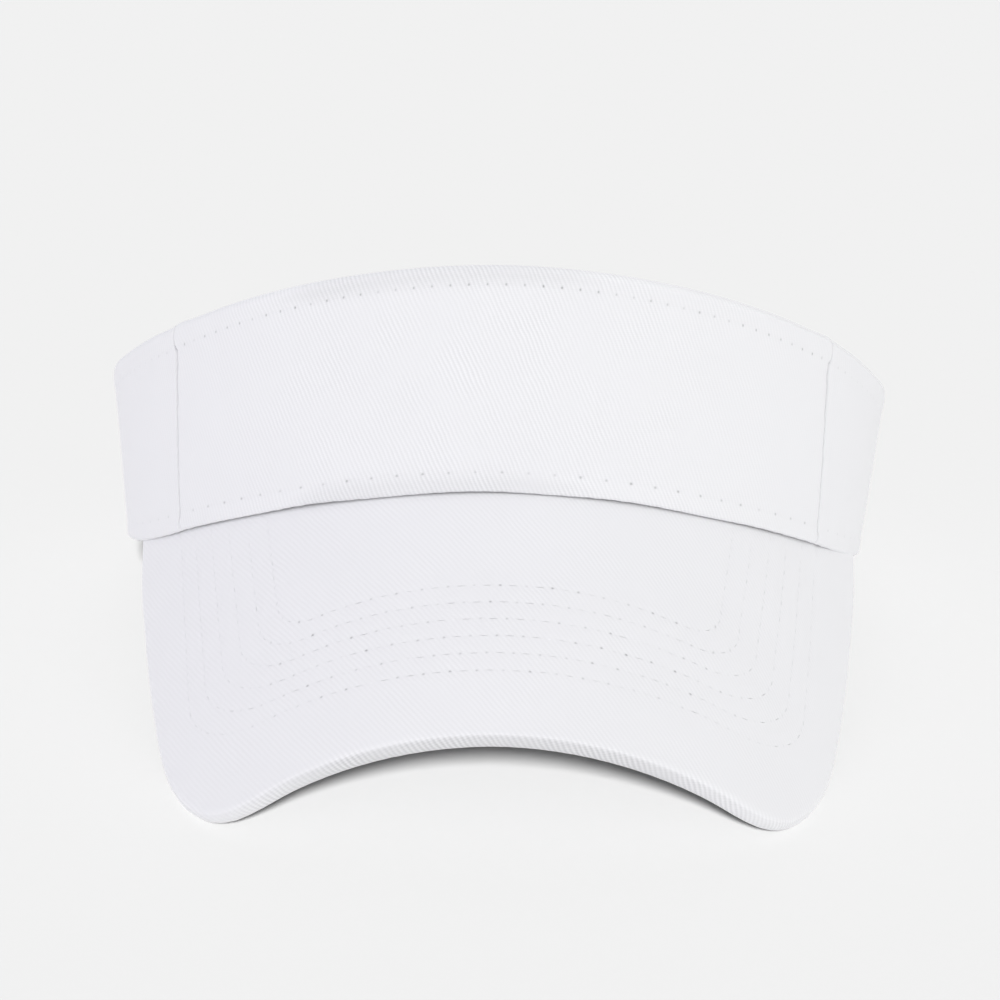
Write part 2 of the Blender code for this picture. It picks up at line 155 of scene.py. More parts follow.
STRAP_BEND_END = 0.040
HOOK_REACH = 0.00030
HOOK_THICKNESS = 0.00009
HOOK_STEP = (0.0017, 0.0016)

# Hems, seams and stitches.
TOP_FOLD = 0.0016
BOTTOM_FOLD = 0.00045
HEM_SWELL = (0.0006, 0.0001)
HEM_REACH = 0.0055
HEM_LIFT = 0.00045
HEM_CALM_ANGLE = math.radians(10.0)
HEM_DEPTH = 0.0080
SEAM_UNDER = 0.0022
SEAM_DEPTH = 0.00070
SEAM_ROW = 0.0031
END_ROW = 0.0035
BAND_ROW_END = math.radians(87.5)
SEAM_STEP = 0.0013
CORNER_RADIUS = 0.0021
THREAD = 0.00020
THREAD_SUNK = 0.00005
TOP_ROW_INSET = (0.0040, 0.0053)
BOTTOM_ROW_INSET = 0.0042
TOP_PITCH = 0.0039
BOTTOM_PITCH = 0.0056
BRIM_PITCH = 0.0054
SEAM_PITCH = 0.0034
STRAP_PITCH = 0.0034
BRIM_ROWS = 6
BRIM_ROW_SIDE = (0.0486, 0.0047)
BRIM_ROW_FRONT = (0.0276, 0.00493)
BRIM_ROW_CORNER = (0.0085, 0.0023)
BRIM_ROW_BULGE = 0.0022
BRIM_ROW_LEAN = math.atan(0.15)
BRIM_ROW_EASE = 0.10
BRIM_ROW_LEAST_CORNER = 0.003

# Weave: direction of the twill's ribs from the horizontal, and the distance between them.
TWILL_ANGLE = math.radians(65.0)
TWILL_PITCH = 0.00088
BRIM_TWILL_ANGLE = math.radians(57.0)
BRIM_TWILL_PITCH = 0.00098
RIB_HEIGHT = 0.000035
YARN_TURN = math.radians(74.0)
YARN_PITCH = 0.52
FUZZ_SIZE = 0.00045
ROW_REACH = 0.010
HOLE_SPACING = 0.0050
HOLE_SIZE = 0.00026
PULL_SIZE = 0.0010
GROOVE_SIZE = 0.00045

WHITE = (0.83, 0.83, 0.847, 1.0)
LINING_WHITE = (0.80, 0.805, 0.83, 1.0)
TERRY_WHITE = (0.82, 0.82, 0.83, 1.0)
THREAD_WHITE = (0.84, 0.842, 0.862, 1.0)
TAPE_WHITE = (0.80, 0.80, 0.82, 1.0)
LABEL_WHITE = (0.84, 0.84, 0.85, 1.0)
BOARD_WHITE = (0.78, 0.78, 0.79, 1.0)
BUCKRAM_WHITE = (0.70, 0.69, 0.66, 1.0)
FLOOR_WHITE = (0.28, 0.28, 0.28, 1.0)

# --- The band's frame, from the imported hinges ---

HINGES = {joint["name"]: joint for joint in frame["joints"]}
STRAP_HINGE = HINGES["left_strap_bend"]
TIP = math.atan2(STRAP_HINGE["axis"][1], STRAP_HINGE["axis"][2])
PLACE = np.array((0.0, STRAP_HINGE["pos_m"][1], STRAP_HINGE["pos_m"][2]))


def to_world(points):
    """Points of the band's frame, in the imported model's frame."""
    x, y, z = np.moveaxis(np.asarray(points, float), -1, 0)
    turned_y = y * math.cos(TIP) + z * math.sin(TIP)
    turned_z = z * math.cos(TIP) - y * math.sin(TIP)
    return vectors(x, turned_y, turned_z) + PLACE


def vectors(*parts):
    """Parts of different shapes, spread out to one grid and joined as vectors."""
    return np.stack(np.broadcast_arrays(*parts), -1)


def mix(low, high, share):
    return low + (high - low) * share


def smooth(value):
    """Ease from 0 to 1, flat at both ends."""
    value = np.clip(value, 0.0, 1.0)
    return value * value * (3 - 2 * value)


def signed_power(value, exponent):
    return np.sign(value) * np.abs(value) ** exponent


def hump(distance, width):
    """Bell of height 1 at distance 0."""
    return np.exp(-(distance / width) ** 2)


def uneven(u, v, size, seed):
    """Gentle unevenness over a flat pattern, mostly from -1 to 1, with features about this size."""
    random = np.random.default_rng(seed)
    total = np.zeros(np.broadcast(u, v).shape)
    for _ in range(7):
        turn = random.uniform(0.0, math.pi)
        number = 2 * math.pi / (size * random.uniform(0.75, 1.6))
        phase = random.uniform(0.0, 2 * math.pi)
        total += np.sin(number * (u * math.cos(turn) + v * math.sin(turn)) + phase)
    return total / 4


def path_length(points):
    """Distance along a path, at each of its points."""
    steps = np.linalg.norm(np.diff(points, axis=0), axis=-1)
    return np.concatenate(((0.0,), np.cumsum(steps)))


def read_off(at, places, values):
    """Rows of values that are known at some places along a path, read off at others."""
    return np.stack([np.interp(at, places, column) for column in values.T], -1)


def rounding(distance, radius):
    """How far a rounded edge falls away at a distance from its end, as a share of its radius."""
    within = 1 - np.clip(distance / radius, 0.0, 1.0)
    return 1 - np.sqrt(1 - within ** 2)


def dense_ends(length, step, reach, end_step):
    """Places from 0 to length, closer together within reach of both ends."""
    start = np.arange(0.0, reach, end_step)
    middle = np.linspace(reach, length - reach, max(2, round((length - 2 * reach) / step)))
    return np.concatenate((start, middle, length - start[::-1]))


# --- Brim shape ---


def brim_point(across, forward, lift=0.0):
    """Point of the brim's top face at a place in its flat pattern, lifted along its normal."""
    bend = across / BRIM_RADIUS
    radius = BRIM_RADIUS + lift
    rise = radius * np.cos(bend) - BRIM_RADIUS
    y = -BAND_FRONT - forward * math.cos(BRIM_DROOP) - rise * math.sin(BRIM_DROOP)
    z = -forward * math.sin(BRIM_DROOP) + rise * math.cos(BRIM_DROOP)
    return vectors(radius * np.sin(bend), y, z)


def brim_normal(across):
    """Direction that the brim's top face looks in."""
    bend = across / BRIM_RADIUS
    rise = np.cos(bend)
    return vectors(np.sin(bend), -rise * math.sin(BRIM_DROOP), rise * math.cos(BRIM_DROOP))


def brim_height(x, y):
    """Height of the brim's top face above a place in the band's level plane."""
    sag = BRIM_RADIUS - np.sqrt(BRIM_RADIUS ** 2 - x ** 2)
    forward = (sag * math.sin(BRIM_DROOP) - BAND_FRONT - y) / math.cos(BRIM_DROOP)
    return -forward * math.sin(BRIM_DROOP) - sag * math.cos(BRIM_DROOP)


def flat_place(point):
    """Place (across, forward) in the flat pattern of a point on the brim's top face."""
    sag = BRIM_RADIUS - np.sqrt(BRIM_RADIUS ** 2 - point[..., 0] ** 2)
    forward = (sag * math.sin(BRIM_DROOP) - BAND_FRONT - point[..., 1]) / math.cos(BRIM_DROOP)
    return vectors(BRIM_RADIUS * np.arcsin(point[..., 0] / BRIM_RADIUS), forward)


def brim_outline(count):
    """count + 1 even points along the flat outline, left to right, and the way out at each."""
    knots = np.array(BRIM_OUTLINE)
    mirrored = (-knots[1, 0], knots[1, 1])
    before = np.vstack((mirrored, knots[:-1]))
    after = np.vstack((knots[1:], knots[-1]))
    slopes = (after - before) / 2
    place = np.linspace(0.0, len(knots) - 1.0, 1500)
    span = np.minimum(place.astype(int), len(knots) - 2)
    share = (place - span)[:, None]
    half = (
        (2 * share ** 3 - 3 * share ** 2 + 1) * knots[span]
        + (share ** 3 - 2 * share ** 2 + share) * slopes[span]
        + (3 * share ** 2 - 2 * share ** 3) * knots[span + 1]
        + (share ** 3 - share ** 2) * slopes[span + 1]
    )
    whole = np.vstack((half[:0:-1] * (-1, 1), half))
    length = path_length(whole)
    even = np.linspace(0.0, length[-1], count + 1)
    points = read_off(even, length, whole)
    skew = BRIM_SKEW * np.clip(points[:, 0] / BRIM_CORNER, -1.3, 1.3) ** 3
    points = points + vectors(BRIM_SHIFT, -skew)
    ways = np.gradient(points, axis=0)
    ways /= np.linalg.norm(ways, axis=-1, keepdims=True)
    return points, vectors(-ways[:, 1], ways[:, 0]), even


# --- Band and strap shape ---


def flare(angle):
    return mix(FLARE_FRONT, FLARE_SIDE, np.sin(angle) ** 2)


def side_lean(angle, height):
    """How far the lower part of the band's right side leans in; angle is 90 degrees at that side."""
    depth = np.clip((SIDE_BOTTOM + HEIGHT_SIDE - height) / HEIGHT_SIDE, 0.0, 1.0)
    return SIDE_LEAN * depth * smooth((angle - LEAN_START) / (math.pi / 2 - LEAN_START))


def band_point(angle, height, inset):
    """Point of the band's front half: angle 0 is the front and 90 degrees the right side."""
    grow = np.tan(flare(angle)) * height - inset
    power = 2 / BAND_SQUARENESS
    x = (BAND_HALF_WIDTH + grow) * signed_power(np.sin(angle), power) - side_lean(angle, height)
    y = -(BAND_FRONT + grow) * signed_power(np.cos(angle), power)
    return vectors(x, y, height)


def seam_height(angle, inset):
    """Height of the band's lower edge: on the brim as far as the brim goes, then level."""
    reach = np.minimum(np.abs(angle), BRIM_END_ANGLE)
    height = np.zeros(np.shape(reach))
    for _ in range(12):
        point = band_point(reach, height, inset)
        height = brim_height(point[..., 0] + side_lean(reach, height), point[..., 1]) + GAP
    beyond = (np.abs(angle) - reach) / (math.pi / 2 - BRIM_END_ANGLE)
    return mix(height, SIDE_BOTTOM, 1 - (1 - np.minimum(beyond, 1.0)) ** 2)


def top_height(angle):
    """Height of the band's upper edge."""
    shoulder = smooth((np.abs(angle) - SHOULDER_START) / (SHOULDER_END - SHOULDER_START))
    fall = mix((np.abs(angle) / (math.pi / 2)) ** 3, shoulder, SHOULDER_SHARE)
    rise = np.clip((-angle - RISE_START) / (RISE_END - RISE_START), 0.0, 1.0)
    height = mix(HEIGHT_FRONT, HEIGHT_SIDE, fall) + LEFT_RISE * np.sin(math.pi * rise)
    return seam_height(angle, 0.0) + height * np.cos(flare(angle))


def seam_angle(share):
    """Angle of the front panel's side seam, from its foot (0) to its top (1)."""
    return mix(SEAM_ANGLE_BOTTOM, SEAM_ANGLE_TOP, np.clip(share, 0.0, 1.0))


def band_outward(points):
    return points * (1.0, 1.0, 0.0)


def seam_line(across, inset):
    """How far forward the band's layer at this inset meets the brim, at places across it."""
    angle = np.linspace(-BRIM_END_ANGLE, BRIM_END_ANGLE, 801)
    outer = flat_place(band_point(angle, seam_height(angle, 0.0) - GAP, 0.0))
    inner = flat_place(band_point(angle, seam_height(angle, inset) - GAP, inset))
    at = np.interp(across, outer[:, 0], angle)
    return read_off(at, angle, inner)


def strap_blend(angle):
    return smooth((np.abs(angle) - STRAP_BLEND_ANGLE) / (math.pi / 2 - STRAP_BLEND_ANGLE))


def strap_point(angle, height, side, inset):
    """Point of a strap; its angle is 0 at the back, and positive on its own side."""
    lap = STRAP + TAPE + GAP + TAPE_CLEARANCE / 2
    overlap = OVERLAP_RADIUS + (lap if side > 0 else STRAP - lap)
    blend = strap_blend(angle)
    radius = mix(overlap, BAND_HALF_WIDTH, blend) + np.tan(FLARE_SIDE * blend) * height - inset
    x = side * radius * np.sin(angle) - side_lean(side * angle, height)
    return vectors(x, radius * np.cos(angle), height)


def strap_edges(angle):
    """Heights of a strap's lower and upper edge."""
    blend = strap_blend(angle)
    low = mix(BACK_BOTTOM, SIDE_BOTTOM, blend)
    high = mix(BACK_BOTTOM + BACK_HEIGHT, SIDE_BOTTOM + HEIGHT_SIDE * math.cos(FLARE_SIDE), blend)
    return low, high


# --- Meshes ---


def new_piece(name, mesh, fields, material):
    """Object with its flat-pattern attributes and its material; mesh points are already placed."""
    for key, value in fields.items():
        layer = mesh.attributes.new(key, "FLOAT_VECTOR", "POINT")
        layer.data.foreach_set("vector", np.ascontiguousarray(value, np.float32).ravel())
    mesh.materials.append(material)
    mesh.shade_smooth()
    mesh.set_sharp_from_angle(angle=math.radians(60))
    piece = bpy.data.objects.new(name, mesh)
    bpy.context.scene.collection.objects.link(piece)
    return piece


def lay_grid(name, points, outward, fields, material, thickness=0.0):
    """Cloth whose grid of points runs rows by columns, thickened away from its outward side."""
    facing = (np.cross(np.gradient(points, axis=1), np.gradient(points, axis=0)) * outward).sum()
    if facing < 0:
        points = points[:, ::-1]
        fields = {key: value[:, ::-1] for key, value in fields.items()}
    rows, columns = points.shape[:2]
    grid = bmesh.new()
    bmesh.ops.create_grid(grid, x_segments=columns - 1, y_segments=rows - 1, size=0.5)
    mesh = bpy.data.meshes.new(name)
    grid.to_mesh(mesh)
    grid.free()
    mesh.vertices.foreach_set("co", to_world(points).astype(np.float32).ravel())
    mesh.update()
    piece = new_piece(name, mesh, fields, material)
    if thickness > 0:
        solid = piece.modifiers.new("Thickness", "SOLIDIFY")
        solid.thickness = thickness
        solid.offset = -1.0
        solid.use_even_offset = False
    return piece


def tube_faces(rings, around):
    """Quads between rings of points that each close on themselves."""
    ring = np.arange(rings - 1)[:, None] * around
    step = np.arange(around)[None, :]
    after = (step + 1) % around
    corners = (ring + step, ring + after, ring + around + after, ring + around + step)
    return np.stack(np.broadcast_arrays(*corners), -1).reshape(-1, 4)


def closed_mesh(name, rings, faces):
    """Mesh over rings of points, with its faces turned outwards."""
    mesh = bpy.data.meshes.new(name)
    mesh.from_pydata(to_world(rings).reshape(-1, 3).tolist(), [], faces)
    shape = bmesh.new()
    shape.from_mesh(mesh)
    bmesh.ops.recalc_face_normals(shape, faces=shape.faces)
    shape.to_mesh(mesh)
    shape.free()
    return mesh


def lay_tube(name, rings, fields, material):
    """Closed body lofted through rings, each laid out as one face and then the face behind it."""
    count, around = rings.shape[:2]
    sides = tube_faces(count, around)
    step = np.arange(around // 2 - 1)
    cap = np.stack((step, step + 1, around - 2 - step, around - 1 - step), -1)
    faces = np.vstack((sides, cap[:, ::-1], cap + (count - 1) * around)).tolist()
    return new_piece(name, closed_mesh(name, rings, faces), fields, material)


STITCH_RINGS = 7
STITCH_SIDES = 8
STITCH_SHARE = (0.07, 0.93)
STITCH_ARCH = (0.08, 0.92)
STITCH_FLATNESS = 0.85


def stitches(path, normals, pitch, phase=0.0):
    """Rings of one row of stitches: each rises out of one needle hole and sinks into the next.

    The needle holes are whole pitches, and this share of one, away from the middle of the path.
    """
    length = path_length(path)
    half = int(length[-1] / 2 / pitch)
    share = np.linspace(0.0, 1.0, STITCH_RINGS)
    first = np.arange(-half, half - math.ceil(phase))[:, None] + phase
    along = (first + mix(*STITCH_SHARE, share)[None, :]) * pitch + length[-1] / 2
    rise = np.sin(math.pi * mix(*STITCH_ARCH, share)) ** 0.6
    centre = read_off(along, length, path)
    normal = read_off(along, length, normals)
    normal /= np.linalg.norm(normal, axis=-1, keepdims=True)
    tangent = np.gradient(centre, axis=1)
    side = np.cross(tangent, normal)
    side /= np.linalg.norm(side, axis=-1, keepdims=True)
    centre = centre + normal * (THREAD * (1.9 * rise - 2.4))[None, :, None]
    turn = np.arange(STITCH_SIDES) * 2 * math.pi / STITCH_SIDES
    width = (THREAD * (0.6 + 0.4 * rise))[None, :, None, None]
    out = np.cos(turn)[None, None, :, None] * normal[:, :, None, :] * STITCH_FLATNESS
    out = out + np.sin(turn)[None, None, :, None] * side[:, :, None, :]
    rings = centre[:, :, None, :] + width * out
    return rings, vectors(along[:, :, None], turn * THREAD, 0.0)


def lay_bits(name, rings, lay, material):
    """One piece from many short closed tubes, such as stitches or hooks."""
    each = STITCH_RINGS * STITCH_SIDES
    start = np.arange(len(rings))[:, None, None] * each
    faces = (start + tube_faces(STITCH_RINGS, STITCH_SIDES)[None]).reshape(-1, 4).tolist()
    cap = np.arange(STITCH_SIDES)
    faces += (start[:, 0] + cap[::-1]).tolist()
    faces += (start[:, 0] + cap + each - STITCH_SIDES).tolist()
    return new_piece(name, closed_mesh(name, rings, faces), {"weave": lay}, material)


def lay_stitches(name, rows):
    """One piece from several rows of stitches, each row given as path, normals and pitch."""
    made = [stitches(*row) for row in rows]
    rings = np.concatenate([rings for rings, _ in made])
    lay = np.concatenate([lay for _, lay in made])
    return lay_bits(name, rings, lay, MATERIALS["thread"])


def settle(piece, body, slot, *replaced):
    """Ties a finished piece to its body, in place of CAD nodes; slot is not used."""
    if body is not None:
        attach(piece, body)
    if replaced:
        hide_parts(*replaced)
    return piece


# --- Materials ---


class Recipe:
    """A material under construction, with short ways to add its nodes."""

    def __init__(self, name, colour, roughness, sheen=0.0):
        self.material = bpy.data.materials.new(name)
        self.material.use_nodes = True
        self.tree = self.material.node_tree
        self.shader = self.tree.nodes["Principled BSDF"]
        self.colour = colour
        self.shader.inputs["Base Color"].default_value = colour
        self.shader.inputs["Roughness"].default_value = roughness
        self.shader.inputs["Specular IOR Level"].default_value = 0.25
        self.shader.inputs["Sheen Weight"].default_value = sheen
        self.shader.inputs["Sheen Roughness"].default_value = 0.5

    def node(self, kind, inputs, **settings):
        """New node, with its inputs given by name or number, as values or as other outputs."""
        made = self.tree.nodes.new(kind)
        for key, value in settings.items():
            setattr(made, key, value)
        for key, value in inputs.items():
            if isinstance(value, bpy.types.NodeSocket):
                self.tree.links.new(value, made.inputs[key])
            else:
                made.inputs[key].default_value = value
        return made

    def math(self, operation, first, second=0.0, third=0.0):
        made = self.node("ShaderNodeMath", {0: first, 1: second, 2: third}, operation=operation)
        return made.outputs[0]

    def times(self, first, second):
        return self.math("MULTIPLY", first, second)

    def total(self, base, *parts):
        """Base and some parts, each of them an output and the factor it counts with."""
        for part, factor in parts:
            base = self.math("MULTIPLY_ADD", part, factor, base)
        return base

    def from_whole(self, value, scale):
        """Signed distance to the nearest whole number, on this scale."""
        share = self.math("FRACT", self.math("ADD", value, 0.5))
        return self.times(self.math("SUBTRACT", share, 0.5), scale)

    def field(self, name):
        """The three parts of a flat-pattern attribute."""
        attribute = self.node("ShaderNodeAttribute", {}, attribute_name=name)
        parts = self.node("ShaderNodeSeparateXYZ", {0: attribute.outputs["Vector"]})
        return parts.outputs[0], parts.outputs[1], parts.outputs[2]

    def noise(self, u, v, size, detail=2.0, seed=0.0):
        """Noise from 0 to 1 over the flat pattern, with features about this size."""
        place = self.node("ShaderNodeCombineXYZ", {0: u, 1: v, 2: seed})
        inputs = {"Vector": place.outputs[0], "Scale": 1.0 / size, "Detail": detail}
        return self.node("ShaderNodeTexNoise", inputs).outputs["Fac"]

    def grain(self, size, detail=2.0):
        """Noise from 0 to 1, placed by the object's own coordinates."""
        place = self.node("ShaderNodeTexCoord", {}).outputs["Object"]
        inputs = {"Vector": place, "Scale": 1.0 / size, "Detail": detail}
        return self.node("ShaderNodeTexNoise", inputs).outputs["Fac"]

    def wave(self, u, v, angle, pitch, wobble=0.0):
        """Ribs from 0 to 1 whose lines run at this angle down to the right."""
        phase = self.total(wobble, (u, math.sin(angle) / pitch), (v, math.cos(angle) / pitch))
        swing = self.math("SINE", self.times(phase, 2 * math.pi))
        return self.total(0.5, (swing, 0.5))

    def bell(self, distance, width):
        """1 at distance 0 and falling away over this width."""
        share = self.math("DIVIDE", distance, width)
        return self.math("EXPONENT", self.times(self.times(share, share), -1.0))

    def finish(self, shade, height, rough=None):
        """Shade scales the colour, height in metres drives the bump and rough the roughness."""
        tint = self.node("ShaderNodeCombineColor", {0: shade, 1: shade, 2: shade})
        inputs = {0: 1.0, 6: self.colour, 7: tint.outputs[0]}
        mixed = self.node("ShaderNodeMix", inputs, data_type="RGBA", blend_type="MULTIPLY")
        self.tree.links.new(mixed.outputs[2], self.shader.inputs["Base Color"])
        inputs = {"Strength": 1.0, "Distance": 1.0, "Height": height}
        bump = self.node("ShaderNodeBump", inputs)
        self.tree.links.new(bump.outputs["Normal"], self.shader.inputs["Normal"])
        if rough is not None:
            self.tree.links.new(rough, self.shader.inputs["Roughness"])
        return self.material


def twill_material(name, spacing, variation, lean=TWILL_ANGLE, pitch=TWILL_PITCH):
    """Cotton twill with needle holes along the rows named by the attribute "row"; holes, grooves and the
    hollows between the ribs get painted shade.

    Row holds the place along the row in stitches, the row number as a running value that is whole on a row,
    and how strongly the holes show, with their painted shade.  Cloth without it has no holes.  Spacing is the
    distance from row to row, and variation says how much the holes differ.  The third part of "weave" says
    how strongly the ribs and their painted shade show, and above 1 it darkens the cloth as painted shade, as
    on the brim's rolled rim and the hem strips.
    """
    recipe = Recipe(name, WHITE, 0.86, sheen=0.15)
    u, v, emphasis_and_shade = recipe.field("weave")
    along, row, strength = recipe.field("row")
    wobble = recipe.times(recipe.noise(u, v, 0.006, seed=0.3), 0.8)
    rib = recipe.wave(u, v, lean, pitch, wobble)
    yarn = recipe.wave(u, v, lean - YARN_TURN, pitch * YARN_PITCH, wobble)
    fuzz = recipe.noise(u, v, FUZZ_SIZE, 3.0, 1.7)
    weave = recipe.math("SUBTRACT", recipe.total(rib, (yarn, 0.30), (fuzz, 0.55)), 0.92)
    patch = recipe.noise(u, v, 0.018, seed=4.1)
    worn = recipe.total(-0.2, (recipe.noise(u, v, 0.011, 1.0, 7.7), 1.4))
    # The ribs' lighter ridges and darker hollows in the colour are painted shade between the ribs; they also
    # drive the bump.
    ribs = recipe.times(weave, recipe.times(emphasis_and_shade, worn))
    from_row = recipe.from_whole(row, spacing)
    step = recipe.from_whole(along, HOLE_SPACING)
    squares = recipe.math("ADD", recipe.times(step, step), recipe.times(from_row, from_row))
    away = recipe.math("SQRT", squares)
    tension = recipe.total(0.5 - variation / 2, (recipe.noise(u, v, 0.003, 1.0, 9.3), variation))
    strength = recipe.times(strength, tension)
    # Needle holes and the rows' grooves: dents in the bump, and darkened in the colour as painted shade.
    hole = recipe.times(recipe.bell(away, HOLE_SIZE), strength)
    pull = recipe.times(recipe.bell(away, PULL_SIZE), strength)
    groove_and_shade = recipe.times(recipe.bell(from_row, GROOVE_SIZE), strength)
    # Above an emphasis of 1 the cloth is darkened: painted shade on the brim's rolled rim and on the hem
    # strips.
    painted_fold_shade = recipe.math("MAXIMUM", recipe.math("SUBTRACT", emphasis_and_shade, 1.0), 0.0)
    # Shade: painted shade between the ribs, random patches, painted shade on folds, and painted shade in the
    # rows' grooves and needle holes.
    shade = recipe.total(0.975, (ribs, 0.15), (patch, 0.02), (painted_fold_shade, -0.34), (groove_and_shade, -0.012), (hole, -0.60))
    height = recipe.total(0.0, (ribs, RIB_HEIGHT), (hole, -0.00016), (pull, -0.00004), (groove_and_shade, -0.00002))
    return recipe.finish(shade, height, recipe.total(0.80, (fuzz, 0.10)))


def plain_weave_material(name, colour, pitch, rib_height, roughness=0.88, sheen=0.1):
    """Fine over-and-under weave, as the lining, the label and the hook tape's backing have."""
    recipe = Recipe(name, colour, roughness, sheen)
    u, v, _ = recipe.field("weave")
    wander = recipe.times(recipe.noise(u, v, 0.008, seed=2.0), 0.4)
    warp = recipe.wave(u, v, math.radians(90), pitch, wander)
    weft = recipe.wave(u, v, 0.0, pitch, wander)
    fuzz = recipe.noise(u, v, pitch * 1.3, 3.0, 0.9)
    weave = recipe.total(fuzz, (recipe.times(warp, weft), 0.8))
    patch = recipe.noise(u, v, 0.02, seed=5.0)
    shade = recipe.total(0.93, (weave, 0.05), (patch, 0.03))
    rough = recipe.total(roughness - 0.05, (fuzz, 0.10))
    return recipe.finish(shade, recipe.times(weave, rib_height), rough)


def pile_material(name, colour, size, pile_height, sheen):
    """Loops or nap: small round tufts, lighter at their tops and darker between them, as painted light and
    shade.
    """
    recipe = Recipe(name, colour, 0.95, sheen)
    u, v, _ = recipe.field("weave")
    place = recipe.node("ShaderNodeCombineXYZ", {0: u, 1: v, 2: 0.0})
    inputs = {"Vector": place.outputs[0], "Scale": 1.0 / size, "Randomness": 0.9}
    tuft = recipe.node("ShaderNodeTexVoronoi", inputs).outputs["Distance"]
    fuzz = recipe.noise(u, v, size * 0.5, 3.0, 1.1)
    pile = recipe.total(recipe.math("SUBTRACT", 1.0, tuft), (fuzz, 0.6))
    patch = recipe.noise(u, v, 0.015, seed=3.0)
    # Tuft tops lighter and the gaps between them darker: painted light and shade.
    shade = recipe.total(0.84, (pile, 0.09), (patch, 0.03))
    return recipe.finish(shade, recipe.times(pile, pile_height), recipe.total(0.90, (fuzz, 0.08)))


def thread_material(name):
    """Two-ply sewing thread, whose plies wind round it."""
    recipe = Recipe(name, THREAD_WHITE, 0.55, sheen=0.1)
    u, v, _ = recipe.field("weave")
    ply = recipe.wave(u, v, math.radians(40), THREAD * 1.6)
    fuzz = recipe.noise(u, v, 0.0003, seed=0.5)
    shade = recipe.total(0.90, (ply, 0.08))
    return recipe.finish(shade, recipe.times(ply, 0.00005), recipe.total(0.45, (fuzz, 0.2)))


def board_material(name, colour, roughness, speckle):
    """Moulded or pressed sheet with a fine grain."""
    recipe = Recipe(name, colour, roughness)
    grain = recipe.grain(speckle, 3.0)
    rough = recipe.total(roughness - 0.1, (grain, 0.2))
    return recipe.finish(recipe.total(0.90, (grain, 0.12)), recipe.times(grain, 0.00003), rough)


def floor_material():
    recipe = Recipe("studio_floor", FLOOR_WHITE, 0.9)
    grain = recipe.grain(0.0025)
    return recipe.finish(recipe.total(0.998, (grain, 0.004)), recipe.times(grain, 0.000005))


MATERIALS = {
    "band_twill": twill_material("band_twill", ROW_REACH, 1.3),
    "brim_twill": twill_material("brim_twill", BRIM_ROW_FRONT[1], 2.6, BRIM_TWILL_ANGLE, BRIM_TWILL_PITCH),
    "strap_twill": twill_material("strap_twill", ROW_REACH, 1.0),
    "lining": plain_weave_material("lining_weave", LINING_WHITE, 0.0005, 0.00003),
    "label": plain_weave_material("label_weave", LABEL_WHITE, 0.00025, 0.00001, 0.5, 0.0),
    "terry": pile_material("terry_loops", TERRY_WHITE, 0.0011, 0.0004, 0.4),
    "loop": pile_material("loop_pile", TAPE_WHITE, 0.0006, 0.0003, 0.3),
    "tape": plain_weave_material("tape_weave", TAPE_WHITE, 0.0004, 0.00002, 0.6, 0.0),
    "thread": thread_material("sewing_thread"),
    "board": board_material("brim_board_plastic", BOARD_WHITE, 0.45, 0.0012),
    "buckram": board_material("buckram_mesh", BUCKRAM_WHITE, 0.8, 0.0008),
}


# --- Band: panels, linings, sweatband and label ---

# How far past each row its hem puffs out, the spacing of the columns, how far the seams disturb the cloth,
# and where the ribs and their painted shade begin to fade towards the sides, following how the light falls,
# and how soon they do.
HEM_PUFF = (0.0024, 0.0026)
PANEL_STEP = (0.00065, 0.0034, 0.0002)
CALM_REACH = 0.003
SEAM_WAVER = (0.00022, 0.0050)
SEAM_STEP_FADE = (1.0, 0.2)
RIB_SHADE_FADE_START = 0.38
RIB_SHADE_FADE_REACH = 0.45


def hem_swell(angle):
    """How far the hem stands out over the brim: most at the front."""
    return mix(*HEM_SWELL, smooth(np.abs(angle)))


def column_angles(start, end):
    """Shares from 0 to 1 between two angles of the band, closer together at both ends."""
    length = abs(end - start) * BAND_HALF_WIDTH
    step, reach, end_step = PANEL_STEP
    return dense_ends(length, step, reach, end_step) / length


def top_row(angle):
    """Height of the stitching along the band's upper edge."""
    return top_height(angle) - mix(*TOP_ROW_INSET, smooth(np.abs(angle)))


def low_row(angle):
    """Height of the stitching along the band's lower edge."""
    return seam_height(angle, 0.0) + BOTTOM_ROW_INSET


def stitch_place(angle, height_of):
    """Signed distance along a row of the band's stitching from its middle, at these angles."""
    turn = np.linspace(0.0, PANEL_END, 300)
    length = path_length(band_point(turn, height_of(turn), 0.0))
    return np.sign(angle) * np.interp(np.abs(angle), turn, length)


def hem_waver(angle):
    """Unevenness of the band's lower edge."""
    place = angle * BAND_HALF_WIDTH
    return 0.00007 * uneven(place, 0.0, 0.0022, 63) + 0.00016 * uneven(place, 0.0, 0.026, 64)


def hem_height(angle):
    """Height of the lowest point of the band's cloth."""
    return seam_height(angle, -hem_swell(angle)) + HEM_LIFT + hem_waver(angle)


def band_dent(angle, height):
    """How far the band's cloth is pulled in by its stitching and its own unevenness."""
    place = angle * BAND_HALF_WIDTH
    from_top = top_row(angle) - height
    from_low = height - low_row(angle)
    pucker = uneven(place, 0.3 * height, 0.0085, 3) * (hump(from_top, 0.004) + hump(from_low, 0.005))
    dent = 0.00007 * (hump(from_top, 0.0011) + hump(from_low, 0.0012))
    dent -= 0.00012 * (hump(from_top + HEM_PUFF[0], 0.0018) + hump(from_low + HEM_PUFF[1], 0.0020))
    return dent + 0.00010 * pucker + 0.00018 * uneven(place, height, 0.045, 5)


